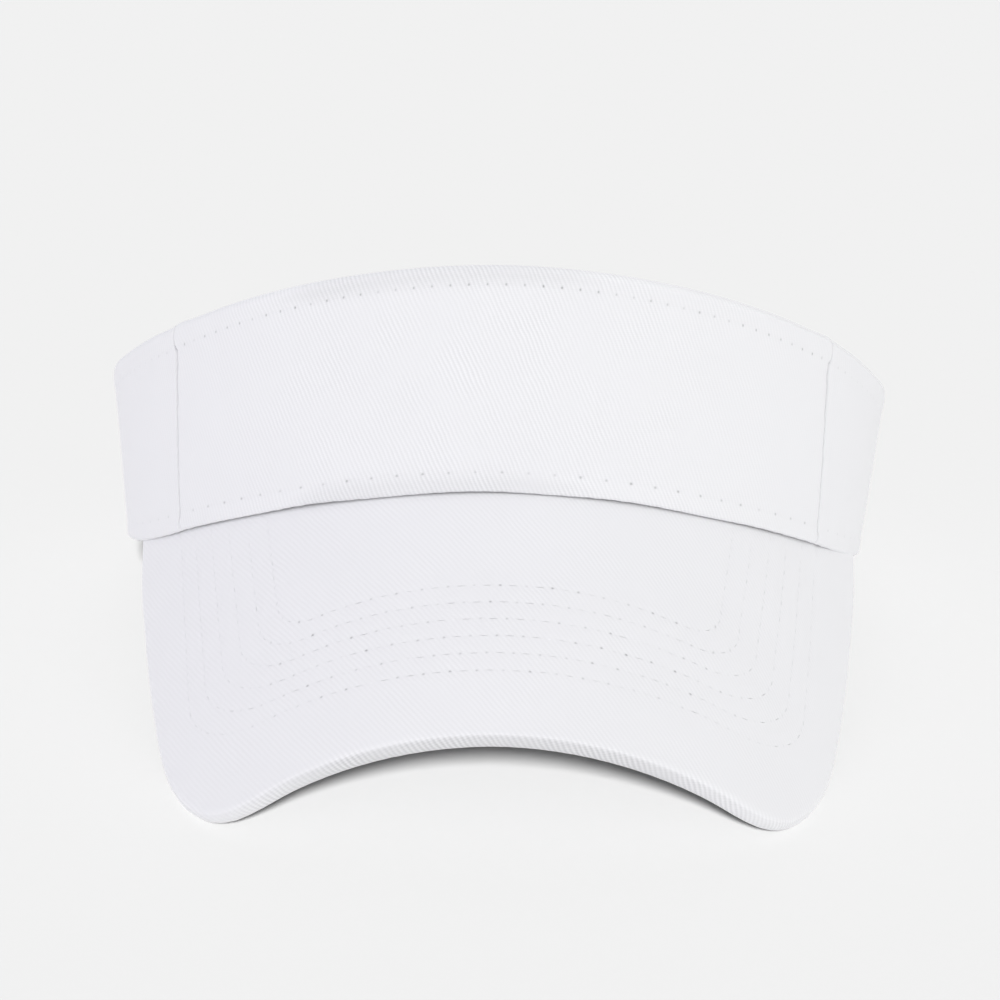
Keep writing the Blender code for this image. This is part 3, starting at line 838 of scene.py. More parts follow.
def panel_profile(angle, low):
    """Height and inset of the cloth at each row, from its rolled lower edge up over its top fold."""
    high = top_height(angle)
    turn = np.linspace(math.pi / 2, 0.0, 5)[:-1]
    rows = [(low + BOTTOM_FOLD * (1 - math.sin(t)), BOTTOM_FOLD * (1 - math.cos(t))) for t in turn]
    for share in np.linspace(0.0, 1.0, 84):
        rows.append((mix(low + BOTTOM_FOLD, high - TOP_FOLD, share), 0.0))
    for t in np.linspace(0.0, math.pi, 11)[1:]:
        rows.append((high - TOP_FOLD * (1 - math.sin(t)), TOP_FOLD * (1 - math.cos(t))))
    for depth in np.linspace(0.0, HEM_DEPTH, 11)[1:]:
        rows.append((high - TOP_FOLD - depth, 2 * TOP_FOLD))
    heights = np.stack([row[0] for row in rows])
    insets = np.stack([np.broadcast_to(row[1], np.shape(angle)) for row in rows])
    return heights, insets


def panel_rows(angle, up, from_top, from_low):
    """Place along the nearer row of stitching, in stitches, and the running row number."""
    lower = up < 0.5
    above_low = np.clip(from_low / ROW_REACH, -0.5, 0.5)
    below_top = np.clip(from_top / ROW_REACH, -0.5, 0.5)
    row = np.where(lower, above_low, 1 - below_top)
    low_along = stitch_place(angle, low_row) / BOTTOM_PITCH
    along = np.where(lower, low_along, stitch_place(angle, top_row) / TOP_PITCH)
    return along, row


def panel_ribs_and_shade(angle, from_top, from_low):
    """How strongly the ribs and their painted shade show: most in the middle of the front, weaker towards the
    sides, following how the light falls there, and more along the hems, where above 1 it paints shade on the
    hem strips.
    """
    hem = hump(from_top + HEM_PUFF[0], 0.0022) + hump(from_low + HEM_PUFF[1], 0.0024)
    sides = mix(1.0, 0.3, smooth((np.abs(angle) - RIB_SHADE_FADE_START) / RIB_SHADE_FADE_REACH))
    return sides * mix(1.0, 0.6, smooth(angle / 0.5)) * (1 + 0.2 * hem)


def panel_sheet(name, start, end, edge_inset, replaced, corner=0.0):
    """Outer cloth of the band from one seam to the next.

    Edge_inset shapes it near its sides, and corner is the radius of its lower corners.
    """
    width = abs(end(0.5) - start(0.5)) * BAND_HALF_WIDTH
    shares = column_angles(start(0.5), end(0.5))
    middle = mix(start(0.5), end(0.5), shares)
    far = np.minimum(shares, 1 - shares) * width
    low = hem_height(middle) + corner * rounding(far, max(corner, GAP))
    heights, insets = panel_profile(middle, low)
    high = top_height(middle)
    up = np.clip((heights - low) / (high - low), 0.0, 1.0)
    angle = mix(start(up), end(up), shares[None, :])
    step = SEAM_STEP * smooth((heights - top_row(middle)) / 0.0012 + 0.5)
    step = step * (1 - smooth((np.abs(angle) - SEAM_STEP_FADE[0]) / SEAM_STEP_FADE[1]))
    waver = (SEAM_WAVER[0] * uneven(0.0, heights, SEAM_WAVER[1], 61) + step) * hump(far, 0.004)
    angle = angle + np.sign(angle) * waver / BAND_HALF_WIDTH
    u = path_length(band_point(middle, (low + high) / 2, 0.0))
    if middle[0] < 0 < middle[-1]:
        u = u - np.interp(0.0, middle, u)
    u = np.broadcast_to(u, heights.shape)
    steps = np.hypot(np.diff(heights, axis=0), np.diff(insets, axis=0))
    v = np.vstack((np.zeros((1, len(shares))), np.cumsum(steps, axis=0)))
    face = np.where(insets < TOP_FOLD * 0.9, 1.0, 0.0) * smooth(v / 0.0015)
    from_top = top_row(middle) - heights
    from_low = heights - low_row(middle)
    swell_out = hem_swell(angle) * (1 - smooth((heights - low) / HEM_REACH))
    swell_out = swell_out * (1 - smooth((np.abs(angle) - BRIM_END_ANGLE) / HEM_CALM_ANGLE))
    inset = insets + face * (band_dent(angle, heights) + edge_inset(shares * width, far)) - swell_out
    # Strength of the needle holes and grooves, whose darkening is painted shade.
    strength = np.where((v > 0.0005) & (insets < TOP_FOLD * 0.6), smooth(far / CALM_REACH), 0.0)
    strength = strength * mix(1.0, 0.25, smooth((np.abs(angle) - SEAM_ANGLE_TOP) / 0.15))
    along, row = panel_rows(angle, up, from_top, from_low)
    fields = {"weave": vectors(u, v, panel_ribs_and_shade(angle, from_top, from_low)),
              "row": vectors(along, row, strength)}
    points = band_point(angle, heights, inset)
    piece = lay_grid(name, points, band_outward(points), fields, MATERIALS["band_twill"], TWILL)
    settle(piece, "crown", "white_twill", replaced)
    return piece


def make_panels():
    """Front panel on top of the seams, and the two side panels that go under its edges."""
    lap = SEAM_UNDER / BAND_HALF_WIDTH

    def turned_edge(_, far):
        return 0.00028 * rounding(far, TWILL)

    def tucked_edge(place, far):
        valley = SEAM_DEPTH * (1 - smooth((place - SEAM_UNDER - 0.0002) / TWILL))
        return valley + turned_edge(place, np.where(place > 0.01, far, 1.0))

    panel_sheet("front_panel_cloth", lambda b: -seam_angle(b), lambda b: seam_angle(b),
                turned_edge, "front_panel", CORNER_RADIUS)
    for side, word in ((-1, "left"), (1, "right")):
        panel_sheet("side_panel_cloth_" + word, lambda b: side * (seam_angle(b) - lap),
                    lambda b: side * PANEL_END * np.ones(np.shape(b)), tucked_edge, "side_panel_" + word)


def inner_sheet(name, start, end, low_of, high_of, inset, thickness, wrinkle, material, spacing=0.0015):
    """Inner layer of the band between two heights, facing the wearer."""
    columns = np.linspace(start, end, max(3, round(abs(end - start) * BAND_HALF_WIDTH / spacing)))
    low = low_of(columns)
    high = high_of(columns)
    share = np.linspace(0.0, 1.0, max(3, round(float((high - low).mean()) / spacing)))[:, None]
    heights = mix(low, high, share)
    u = np.broadcast_to(path_length(band_point(columns, low, inset)), heights.shape)
    depth = inset + thickness + wrinkle(u, heights - low, high - heights)
    points = band_point(columns[None, :], heights, depth)
    fields = {"weave": vectors(u, heights, 0.0)}
    return lay_grid(name, points, -band_outward(points), fields, MATERIALS[material], thickness)


LINING_BELOW_HEM = 0.0030
LINING_GAP = 0.004
LINING_EASE = 0.0001
QUILT_ROW = 0.0042
QUILT_DEPTH = 0.0007
TERRY_EDGE = (0.0009, 0.0016)
LABEL_RISE = 0.008


def make_linings():
    """Front and side linings, whose tops go up inside the hem's fold."""
    inset = TWILL + BUCKRAM + 2 * GAP

    def wrinkle(u, _, __):
        return LINING_EASE * uneven(u, 0.0, 0.020, 11)

    def top(angle):
        return top_height(angle) - LINING_BELOW_HEM

    def low(angle):
        return seam_height(angle, BAND_THICKNESS)

    parts = (("front_lining_cloth", -SEAM_ANGLE_TOP, SEAM_ANGLE_TOP, "front_lining"),
             ("side_lining_cloth_left", -SEAM_ANGLE_TOP - LINING_GAP, -PANEL_END, "side_lining_left"),
             ("side_lining_cloth_right", SEAM_ANGLE_TOP + LINING_GAP, PANEL_END, "side_lining_right"))
    for name, start, end, replaced in parts:
        piece = inner_sheet(name, start, end, low, top, inset, LINING - LINING_EASE, wrinkle, "lining")
        settle(piece, "crown", "white_lining", replaced)


def make_sweatband():
    """Terry band with rounded edges and a quilted row under its upper edge."""
    inset = BAND_THICKNESS - TERRY

    def pile(u, from_low, from_high):
        edge = np.minimum(from_low, from_high)
        loops = 0.00016 * uneven(u, from_low, 0.0024, 21) + 0.00012 * uneven(u, from_low, 0.0065, 22)
        quilted = QUILT_DEPTH * hump(from_high - QUILT_ROW, 0.0010)
        return loops - TERRY_EDGE[0] * rounding(edge, TERRY_EDGE[1]) - quilted

    piece = inner_sheet("sweatband_terry", -PANEL_END, PANEL_END,
                        lambda angle: seam_height(angle, BAND_THICKNESS) + 0.0002,
                        lambda angle: seam_height(angle, 0.0) + SWEATBAND_HEIGHT,
                        inset, TERRY, pile, "terry", 0.0008)
    settle(piece, "crown", "terry", "sweatband")


def make_label():
    """Blank woven label with folded ends, sewn to the sweatband."""
    u = np.linspace(-0.5, 0.5, 41)[None, :] * LABEL_WIDTH
    v = np.linspace(0.0, 1.0, 25)[:, None] * LABEL_HEIGHT
    u, v = np.broadcast_arrays(u, v)
    height = seam_height(np.array(LABEL_ANGLE), 0.0) + LABEL_RISE + v
    end = LABEL_WIDTH / 2 - np.abs(u)
    curl = 0.00012 * uneven(u, v, 0.012, 31) + 0.0002 * smooth(end / 0.004)
    points = band_point(LABEL_ANGLE + u / BAND_HALF_WIDTH, height, BAND_THICKNESS + GAP + LABEL + curl)
    fields = {"weave": vectors(u, v, 0.0)}
    piece = lay_grid("blank_label", points, -band_outward(points), fields, MATERIALS["label"], LABEL)
    settle(piece, "crown", "label", "inner_label")


# --- Brim ---


def row_shape(number):
    """Height of a row's front, its corner's radius, start, tilt and centre, in the flat pattern."""
    side = BRIM_ROW_SIDE[0] + BRIM_ROW_SIDE[1] * number
    front = BRIM_ROW_FRONT[0] + BRIM_ROW_FRONT[1] * number
    corner = np.maximum(BRIM_ROW_CORNER[0] + BRIM_ROW_CORNER[1] * number, BRIM_ROW_LEAST_CORNER)
    start = side - corner * (math.cos(BRIM_ROW_LEAN) + BRIM_ROW_EASE)
    tilt = np.arctan(2 * BRIM_ROW_BULGE / start)
    centre = (start + corner * np.sin(tilt), front + BRIM_ROW_BULGE - corner * np.cos(tilt))
    return front, corner, start, tilt, centre


def row_place(across, forward, number):
    """Signed distance from stitch row number, outwards, and the distance along that row."""
    front, corner, start, tilt, centre = row_shape(number)
    from_x = np.abs(across) - centre[0]
    from_y = forward - centre[1]
    before = -(from_x * np.cos(tilt) + from_y * np.sin(tilt))
    past = from_x * math.sin(BRIM_ROW_LEAN) - from_y * math.cos(BRIM_ROW_LEAN)
    on_front = (forward - front - BRIM_ROW_BULGE * (across / start) ** 2) * np.cos(tilt)
    on_corner = np.hypot(from_x, from_y) - corner
    on_side = from_x * math.cos(BRIM_ROW_LEAN) + from_y * math.sin(BRIM_ROW_LEAN) - corner
    turned = math.pi / 2 + tilt - np.arctan2(from_y, from_x)
    sweep = math.pi / 2 + tilt - BRIM_ROW_LEAN
    is_front = (before > 0) & (from_y > -corner)
    is_side = (past > 0) & ~is_front
    distance = np.where(is_front, on_front, np.where(is_side, on_side, on_corner))
    along_side = start + corner * sweep + past
    along = np.where(is_front, np.abs(across), np.where(is_side, along_side, start + corner * turned))
    return distance, along


def row_field(across, forward):
    """Running row number at places in the flat pattern, and the distance along that row."""
    low = np.full(np.shape(across), -2.0)
    high = np.full(np.shape(across), BRIM_ROWS + 3.0)
    for _ in range(22):
        middle = (low + high) / 2
        distance, _ = row_place(across, forward, middle)
        low = np.where(distance > 0, middle, low)
        high = np.where(distance > 0, high, middle)
    number = (low + high) / 2
    return number, np.sign(across) * row_place(across, forward, number)[1]


def row_path(number):
    """Flat path of one row of stitches, from the seam on the right round to the left."""
    front, corner, start, tilt, centre = row_shape(number)
    across = np.linspace(0.0, start, 40)
    top = np.stack((across, front + BRIM_ROW_BULGE * (across / start) ** 2), -1)
    turn = np.linspace(math.pi / 2 + tilt, BRIM_ROW_LEAN, 20)[1:]
    arc = np.array(centre) + corner * np.stack((np.cos(turn), np.sin(turn)), -1)
    drop = np.linspace(0.0, 0.070, 120)[1:, None]
    down = arc[-1] + drop * (math.sin(BRIM_ROW_LEAN), -math.cos(BRIM_ROW_LEAN))
    foot = seam_line(down[:, 0], 0.0)[:, 1] + 0.0008
    half = np.vstack((top, arc, down[down[:, 1] > foot]))
    return np.vstack((half[::-1], half[1:] * (-1, 1)))


BRIM_COLUMNS = 460
BRIM_FLAT_ROWS = 92
ROLL_STEPS = 14
TOP_ROLL = math.radians(150.0)
UNDER_ROLL = math.radians(24.0)
ROLL_TUCK = 0.0007
UNDER_TUCK = 0.0004
RIM_RIBS = 0.00007
# Rib strength on the brim's face and on its rolled rim; the value above 1 paints shade on the rim.
RIM_EMPHASIS_AND_SHADE = (0.45, 1.55)
SIDE_EMPHASIS = 0.72
HOLE_STRENGTH = (0.75, 0.15)
STITCH_SINK = 0.00002


def brim_lift(across, forward, number, along):
    """How far the brim's cloth stands above its even surface."""
    near = number - np.round(number)
    off_row = near * BRIM_ROW_FRONT[1]
    pucker = uneven(along, 0.35 * number * BRIM_ROW_FRONT[1], 0.0075, 41) * hump(off_row, 0.0020)
    puff = np.sin(math.pi * np.clip(np.abs(near) * 2, 0, 1))
    stitched = 0.00007 * pucker + 0.00003 * puff - 0.00006 * hump(off_row, 0.0009)
    return 0.00016 * uneven(across, forward, 0.040, 43) + stitched * rows_here(number)


def row_phase(number):
    """Share of a stitch by which the nearest row is shifted against the brim's middle."""
    return np.mod(np.round(number) * 0.37, 1.0)


def rows_here(number):
    """1 where the running row number is one of the brim's rows, and 0 well inside and outside them."""
    return smooth((number + 0.55) / 0.25) * (1 - smooth((number - BRIM_ROWS + 0.70) / 0.25))


def brim_sheet(name, side, replaced):
    """Cover of the brim: side 1 is the top and -1 the underside; its rim rolls round the edge."""
    outline, out, length = brim_outline(BRIM_COLUMNS)
    edge = outline - out * ROLL_RADIUS
    seam = seam_line(outline[:, 0], BAND_THICKNESS)
    flat = mix(seam[None], edge[None], np.linspace(0.0, 1.0, BRIM_FLAT_ROWS)[:, None, None])
    roll = TOP_ROLL if side > 0 else UNDER_ROLL
    turns = np.linspace(0.0, roll, ROLL_STEPS)[1:]
    rolled = edge[None] + out[None] * ROLL_RADIUS * np.sin(turns)[:, None, None]
    place = np.concatenate((flat, rolled, rolled[-1:] - out[None] * ROLL_TUCK))
    fallen = ROLL_RADIUS * (1 - math.cos(roll)) + (0.0 if side > 0 else UNDER_TUCK)
    drop = np.concatenate((np.zeros(BRIM_FLAT_ROWS), ROLL_RADIUS * (1 - np.cos(turns)), (fallen,)))[:, None]
    reached = ROLL_RADIUS * roll + ROLL_TUCK
    beyond = np.concatenate((np.zeros(BRIM_FLAT_ROWS), ROLL_RADIUS * turns, (reached,)))[:, None]
    across = place[..., 0]
    forward = place[..., 1]
    pattern = np.where((beyond > 0)[..., None], edge[None] + out[None] * beyond[..., None], place)
    number, along = row_field(across, forward)
    from_seam = np.linalg.norm(place - seam[None], axis=-1)
    open_face = smooth((from_seam - BAND_THICKNESS) / 0.004)
    ribs = RIM_RIBS * uneven(length[None, :], 0.2 * beyond, 0.0021, 47) * smooth(beyond / 0.0008)
    lift = brim_lift(across, forward, number, along) * open_face * (1 - smooth(beyond / 0.0006)) + ribs * 0.5
    place = place + out[None] * (ribs * np.sin(np.minimum(beyond / ROLL_RADIUS, 1.5)))[..., None]
    depth = lift - drop if side > 0 else drop - BRIM_THICKNESS - lift
    points = brim_point(place[..., 0], place[..., 1], depth)
    outward = brim_normal(place[..., 0]) * side
    outward[BRIM_FLAT_ROWS:] = 0.0
    # Strength of the needle holes and grooves, whose darkening is painted shade; weaker on the brim's sides.
    strength = rows_here(number) * open_face * np.where(beyond > 0, 0.0, 1.0)
    strength = strength * mix(*HOLE_STRENGTH, smooth((np.abs(along) - 0.040) / 0.020))
    # On the rolled rim emphasis passes 1, darkening the cloth as painted shade; ribs and shade ease off
    # towards the brim's sides.
    emphasis_and_shade = mix(*RIM_EMPHASIS_AND_SHADE, smooth(beyond / (0.85 * ROLL_RADIUS)))
    emphasis_and_shade = emphasis_and_shade * mix(1.0, SIDE_EMPHASIS, smooth((np.abs(across) - 0.025) / 0.045))
    fields = {"weave": vectors(pattern[..., 0], -pattern[..., 1], emphasis_and_shade),
              "row": vectors(along / BRIM_PITCH + row_phase(number), number, strength)}
    piece = lay_grid(name, points, outward, fields, MATERIALS["brim_twill"], TWILL)
    settle(piece, "crown", "white_twill", replaced)
    return piece


def make_brim():
    """Both covers over the model's own board, and the six rows of topstitching."""
    brim_sheet("brim_top_cloth", 1, "brim_top_cover")
    brim_sheet("brim_under_cloth", -1, "brim_under_cover")
    for number in range(BRIM_ROWS):
        across, forward = row_path(number).T
        along = np.sign(across) * row_place(across, forward, number)[1]
        lift = brim_lift(across, forward, number, along) - STITCH_SINK
        rows = []
        for side, height in ((1, lift), (-1, -lift - BRIM_THICKNESS)):
            path = brim_point(across, forward, height)
            rows.append((path, brim_normal(across) * side, BRIM_PITCH, row_phase(number)))
        piece = lay_stitches("brim_stitches_%d" % (number + 1), rows)
        settle(piece, "crown", "thread", "brim_thread_%d" % (number + 1))


# --- Straps and closure ---


def strap_rings(angle, low, high, side, inset, thickness, rows, rim):
    """Closed sections of a strap at these angles: its outer face, then its inner face back."""
    turn = np.linspace(0.0, math.pi / 2, 5)
    rise = np.concatenate((-np.cos(turn) * rim, np.zeros(rows), np.cos(turn[::-1]) * rim))
    sunk = np.concatenate((1 - np.sin(turn), np.zeros(rows), 1 - np.sin(turn[::-1])))
    share = np.concatenate((np.zeros(5), np.linspace(0.0, 1.0, rows + 2)[1:-1], np.ones(5)))
    height = mix((low + rim)[:, None], (high - rim)[:, None], share[None, :]) + rise[None, :]
    depth = sunk[None, :] * (thickness / 2)[:, None]
    outer = strap_point(angle[:, None], height, side, inset[:, None] + depth)
    inner = strap_point(angle[:, None], height, side, (inset + thickness)[:, None] - depth)
    rings = np.concatenate((outer, inner[:, ::-1]), axis=1)
    return rings, np.concatenate((height, height[:, ::-1]), axis=1)


def strap_cloth(name, side, start, end, material="strap_twill", height=None, tip=False, inset=0.0,
                thickness=STRAP, tucked=False, rim=0.0009):
    """Piece of a strap from angle start to angle end, whole height or a strip of it."""
    length = abs(start - end) * OVERLAP_RADIUS
    places = dense_ends(length, 0.0009, 0.003, 0.0003)
    angle = mix(start, end, places / length)
    low, high = strap_edges(angle)
    middle = (low + high) / 2
    half = (high - low) / 2 if height is None else np.full(angle.shape, height / 2)
    insets = np.full(angle.shape, inset)
    thick = np.full(angle.shape, thickness)
    if tucked:
        behind = OVERLAP_RADIUS * np.cos(np.clip(angle, 0.0, None))
        reach = smooth((behind - 0.0005) / 0.006)
        insets = mix(SEAM_DEPTH + 0.0001, inset, reach)
        thick = mix(STRAP_FOOT, thickness, reach)
        half = half - 0.0012 * (1 - reach)
    if tip:
        half = half * (1 - 0.35 * rounding(length - places, TIP_ROUNDING))
        kept = 1 - 0.55 * rounding(length - places, TIP_EASE)
        insets = insets + thick * (1 - kept) / 2
        thick = thick * kept
    insets = insets + 0.00015 * uneven(places, 0.0, 0.03, 51 + side)
    rows = 34 if height is None else 24
    rings, heights = strap_rings(angle, middle - half, middle + half, side, insets, thick, rows, rim)
    fields = {"weave": vectors(places[:, None], heights, STRAP_EMPHASIS)}
    return lay_tube(name, rings, fields, MATERIALS[material])


def strap_row(side, end, from_top, face, start=STRAP_ROW_START):
    """Path and normals of one row of stitches along a strap's edge; face 1 is its outer face."""
    angle = np.linspace(start, end, 120)
    low, high = strap_edges(angle)
    height = high - STRAP_ROW_INSET if from_top else low + STRAP_ROW_INSET
    path = strap_point(angle, height, side, 0.0 if face > 0 else STRAP)
    return path, path * (face, face, 0.0), STRAP_PITCH


def make_straps():
    """Both straps, blended into the side panels, and the flap, blended into the right strap."""
    left = strap_cloth("strap_cloth_left", -1, STRAP_START, STRAP_TIP, tip=True, tucked=True)
    right = strap_cloth("strap_cloth_right", 1, STRAP_START, FLAP_ANGLE, tucked=True)
    flap = strap_cloth("closure_flap_cloth", 1, FLAP_ANGLE, STRAP_TIP, tip=True)
    settle(left, None, "white_twill", "strap_left")
    settle(right, None, "white_twill", "strap_right")
    settle(flap, None, "white_twill", "closure_flap")
    stitching = {}
    for side, word, end in ((-1, "left", STRAP_ROW_END), (1, "right", FLAP_ANGLE)):
        rows = [strap_row(side, end, top, face) for top in (False, True) for face in (1, -1)]
        stitching[word] = lay_stitches("strap_stitches_" + word, rows)
    rows = [strap_row(1, STRAP_ROW_END, top, 1, start=FLAP_ANGLE) for top in (False, True)]
    stitching["flap"] = lay_stitches("flap_stitches", rows)
    for piece in stitching.values():
        settle(piece, None, "thread")
    for side, word, cloth in ((-1, "left", left), (1, "right", right)):
        end = Vector(to_world((side * BAND_HALF_WIDTH, STRAP_BEND_END, 0.0)))
        for piece in (cloth, stitching[word]):
            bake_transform(piece)
    for piece in (flap, stitching["flap"]):
        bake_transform(piece)


def tape_stitches(name, side, angles, inset, face):
    """Stitches all round a tape, as separate straight rows that stop short of its corners."""
    paths = []
    for sign in (-1, 1):
        angle = np.linspace(angles[0] - 0.012, angles[1] + 0.012, 90)
        height = TAPE_MIDDLE + sign * (TAPE_HEIGHT / 2 - TAPE_ROW_INSET)
        paths.append(strap_point(angle, height, side, inset))
    for angle in (angles[0] - 0.014, angles[1] + 0.014):
        half = TAPE_HEIGHT / 2 - TAPE_ROW_INSET - THREAD
        height = np.linspace(TAPE_MIDDLE - half, TAPE_MIDDLE + half, 30)
        paths.append(strap_point(np.full(30, angle), height, side, inset))
    return lay_stitches(name, [(path, path * (face, face, 0.0), STRAP_PITCH) for path in paths])


def make_hooks():
    """Hundreds of small hooks on the hook tape's face."""
    half = TAPE_HEIGHT / 2 - 0.0028
    columns = np.arange(HOOK_ANGLES[1] + 0.030, HOOK_ANGLES[0] - 0.030, HOOK_STEP[0] / OVERLAP_RADIUS)
    rows = np.arange(TAPE_MIDDLE - half, TAPE_MIDDLE + half, HOOK_STEP[1])
    angle, height = np.meshgrid(columns, rows)
    stagger = (np.arange(len(rows)) % 2)[:, None] * HOOK_STEP[1] / 2 / OVERLAP_RADIUS
    angle = (angle + stagger).ravel()[:, None, None]
    height = height.ravel()[:, None, None]
    turn = np.linspace(0.0, math.pi * 1.1, STITCH_RINGS)[None, :, None]
    bow = HOOK_REACH * (1 - np.cos(turn)) / 2
    rise = np.where(turn > 0, HOOK_REACH * (0.4 + np.sin(turn)), 0.0)
    around = (np.arange(STITCH_SIDES) * 2 * math.pi / STITCH_SIDES)[None, None, :]
    at = angle + (bow + HOOK_THICKNESS * np.cos(around)) / OVERLAP_RADIUS
    up = height + HOOK_THICKNESS * np.sin(around)
    deep = STRAP + GAP + TAPE - THREAD_SUNK + rise
    at, up, deep = np.broadcast_arrays(at, up, deep)
    return lay_bits("hook_field", strap_point(at, up, 1, deep), vectors(at, up, deep), MATERIALS["tape"])


def make_tapes():
    """Loop tape on the left strap's outer face and hook tape on the flap's inner face."""
    loop = strap_cloth("loop_tape_pile", -1, *LOOP_ANGLES, "loop", TAPE_HEIGHT,
                       inset=-GAP - TAPE, thickness=TAPE, rim=0.0004)
    hook = strap_cloth("hook_tape_base", 1, *HOOK_ANGLES, "tape", TAPE_HEIGHT,
                       inset=STRAP + GAP / 2, thickness=TAPE, rim=0.0004)
    settle(loop, "left_strap", "loop_tape", "loop_tape")
    settle(hook, "flap", "hook_tape", "hook_tape")
    settle(make_hooks(), "flap", "hook_tape")
    piece = tape_stitches("loop_tape_stitches", -1, LOOP_ANGLES, -GAP - TAPE + THREAD / 2, 1)
    settle(piece, "left_strap", "thread")
    inset = STRAP + TAPE + GAP / 2 - THREAD / 2
    piece = tape_stitches("hook_tape_stitches", 1, HOOK_ANGLES, inset, -1)
    settle(piece, "flap", "thread")


# --- Topstitching of the band ---


def band_row(height_of, face, inset):
    """Path and normals of one row of stitches round the band; face 1 is its outer face."""
    angle = np.linspace(-BAND_ROW_END, BAND_ROW_END, 400)
    height = height_of(angle)
    path = band_point(angle, height, inset + band_dent(angle, height))
    return path, band_outward(path) * face


def make_band_stitching():
    """Rows along the band's upper and lower edges, and the rows beside its upright seams."""
    outside = (*band_row(top_row, 1, THREAD_SUNK), TOP_PITCH)
    inside = (*band_row(top_row, -1, 2 * TOP_FOLD + TWILL), TOP_PITCH)
    settle(lay_stitches("band_top_stitches", [outside, inside]), "crown", "thread", "band_top_thread")
    outside = (*band_row(low_row, 1, THREAD_SUNK), BOTTOM_PITCH)
    settle(lay_stitches("band_bottom_stitches", [outside]), "crown", "thread", "band_bottom_thread")
    rows = []
    share = np.linspace(0.03, 0.97, 60)
    for side in (-1, 1):
        for angle in (side * (seam_angle(share) + SEAM_ROW / BAND_HALF_WIDTH),
                      side * (PANEL_END - END_ROW / BAND_HALF_WIDTH) * np.ones(60)):
            height = mix(seam_height(angle, 0.0), top_height(angle), share)
            path = band_point(angle, height, band_dent(angle, height) + 0.00008)
            rows.append((path, band_outward(path), SEAM_PITCH))
    settle(lay_stitches("side_seam_stitches", rows), "crown", "thread")


# --- Studio ---

CAMERA_TARGET = np.array((0.0, 0.0, 0.020))
CAMERA_DISTANCE = 0.9968
CAMERA_RISE = math.radians(3.0)
CAMERA_YAW = math.radians(-0.5)
CAMERA_PITCH = 0.02915
CAMERA_ROLL = math.radians(1.26)
CAMERA_LENS = 154.5


def make_camera():
    """Long lens, a little above the band's own level, aimed below the band's rim."""
    level = math.cos(CAMERA_RISE)
    away = np.array((math.sin(CAMERA_YAW) * level, -math.cos(CAMERA_YAW) * level, math.sin(CAMERA_RISE)))
    place = Vector(to_world(CAMERA_TARGET + away * CAMERA_DISTANCE))
    look = (Vector(to_world(CAMERA_TARGET)) - place).normalized()
    right = look.cross(Vector(to_world(np.array((0.0, 0.0, 1.0))) - to_world(np.zeros(3)))).normalized()
    right = Matrix.Rotation(-CAMERA_ROLL, 3, look) @ right
    up = right.cross(look)
    aim = (look - up * CAMERA_PITCH).normalized()
    up = right.cross(aim)
    data = bpy.data.cameras.new("studio_camera")
    data.lens = CAMERA_LENS
    data.sensor_width = 36.0
    data.clip_start = 0.05
    data.clip_end = 50.0
    camera = bpy.data.objects.new("studio_camera", data)
    bpy.context.scene.collection.objects.link(camera)
    turn = Matrix((right, up, -aim)).transposed()
    camera.matrix_world = Matrix.Translation(place) @ turn.to_4x4()
    bpy.context.scene.camera = camera


SKY_LIGHT = 0.11
BACKDROP_LIGHT = 0.888
COOL = (0.96, 0.93, 1.12)
PLAIN = (1.0, 1.0, 1.0)
# Each lamp: strength, elevation, azimuth from the front towards the right, breadth, tint and what it lights.
LAMPS = (
    ("floor_light", 21.2, 23.0, 0.0, 5.0, PLAIN, "floor"),
    ("floor_sky", 1.0, 90.0, 0.0, 160.0, PLAIN, "floor"),
    ("dome", 1.80, 80.0, 0.0, 160.0, PLAIN, "visor"),
    ("key", 0.53, 30.0, 14.0, 100.0, PLAIN, "visor"),
    ("fill_left", 0.80, 15.0, -80.0, 90.0, COOL, "visor"),
    ("fill_right", 0.79, 15.0, 80.0, 90.0, PLAIN, "visor"),
    ("fill_back", 0.6, 15.0, 180.0, 90.0, PLAIN, "visor"),
)


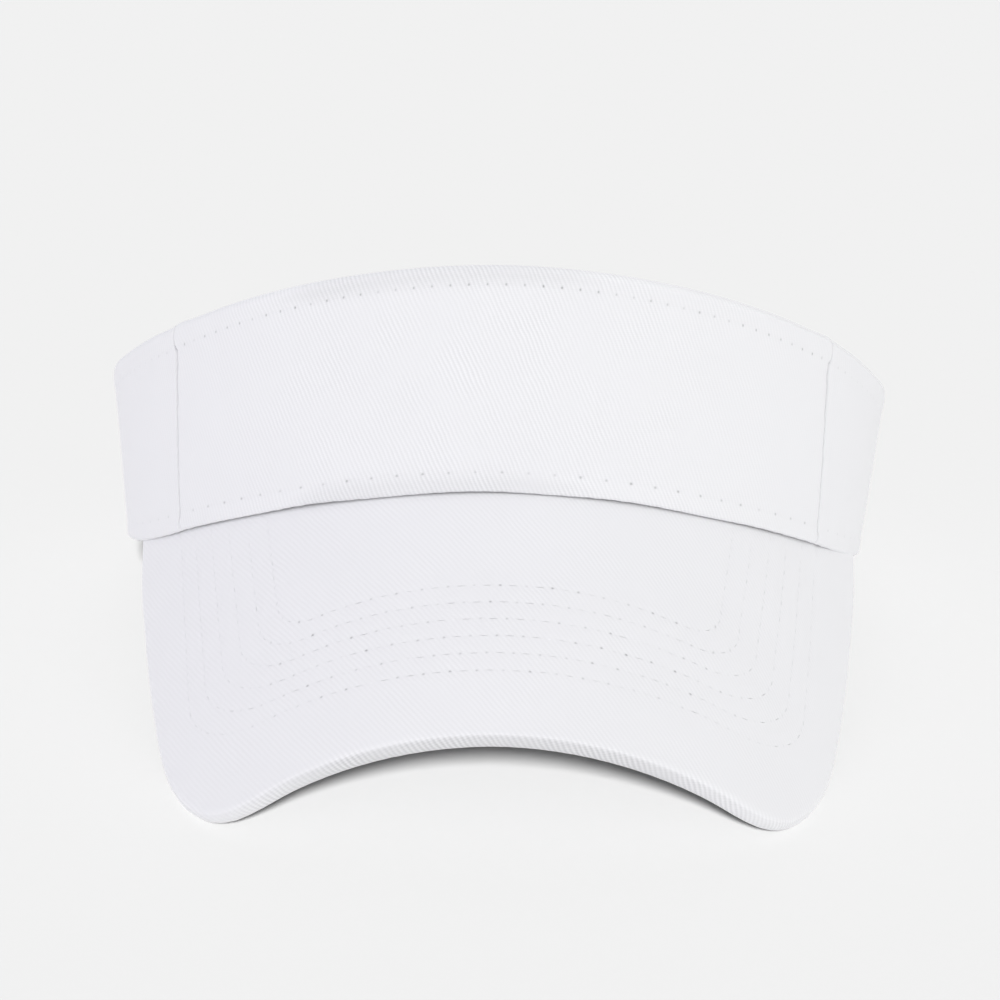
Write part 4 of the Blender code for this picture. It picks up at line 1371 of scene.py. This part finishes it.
def make_surround():
    """Dim even sky light behind which a pale backdrop is seen."""
    world = bpy.data.worlds.new("studio")
    world.use_nodes = True
    tree = world.node_tree
    sky = tree.nodes["Background"]
    backdrop = tree.nodes.new("ShaderNodeBackground")
    for layer, strength in ((sky, SKY_LIGHT), (backdrop, BACKDROP_LIGHT)):
        layer.inputs["Color"].default_value = (*PLAIN, 1.0)
        layer.inputs["Strength"].default_value = strength
    choice = tree.nodes.new("ShaderNodeMixShader")
    seen = tree.nodes.new("ShaderNodeLightPath")
    tree.links.new(seen.outputs["Is Camera Ray"], choice.inputs[0])
    tree.links.new(sky.outputs[0], choice.inputs[1])
    tree.links.new(backdrop.outputs[0], choice.inputs[2])
    tree.links.new(choice.outputs[0], tree.nodes["World Output"].inputs["Surface"])
    bpy.context.scene.world = world


def make_studio():
    """Pale floor with its own light, and broad soft lights for the visor."""
    lit = {"visor": bpy.data.collections.new("lit_visor"), "floor": bpy.data.collections.new("lit_floor")}
    for item in bpy.context.scene.objects:
        if item.type == "MESH":
            lit["visor"].objects.link(item)
    bpy.ops.mesh.primitive_plane_add(size=12.0, location=(0.0, 0.0, 0.0))
    floor = bpy.context.object
    floor.name = "studio_floor"
    floor.data.materials.append(floor_material())
    lit["floor"].objects.link(floor)
    make_surround()
    for name, strength, elevation, azimuth, breadth, tint, target in LAMPS:
        data = bpy.data.lights.new(name, "SUN")
        data.energy = strength
        data.angle = math.radians(breadth)
        data.color = tint
        lamp = bpy.data.objects.new(name, data)
        bpy.context.scene.collection.objects.link(lamp)
        lamp.rotation_euler = (math.radians(90.0 - elevation), 0.0, math.radians(azimuth))
        lamp.light_linking.receiver_collection = lit[target]
    bpy.context.scene.view_settings.view_transform = "Standard"


# --- Assembly ---


def dress_kept_nodes():
    """Procedural finishes for the hidden CAD pieces that stay."""
    for node, material in (("brim_board", "board"), ("front_buckram", "buckram")):
        item = frame["nodes"][node]
        item.data.materials.clear()
        item.data.materials.append(MATERIALS[material])


make_camera()
make_panels()
make_linings()
make_sweatband()
make_label()
make_brim()
make_straps()
make_tapes()
make_band_stitching()
dress_kept_nodes()
make_studio()
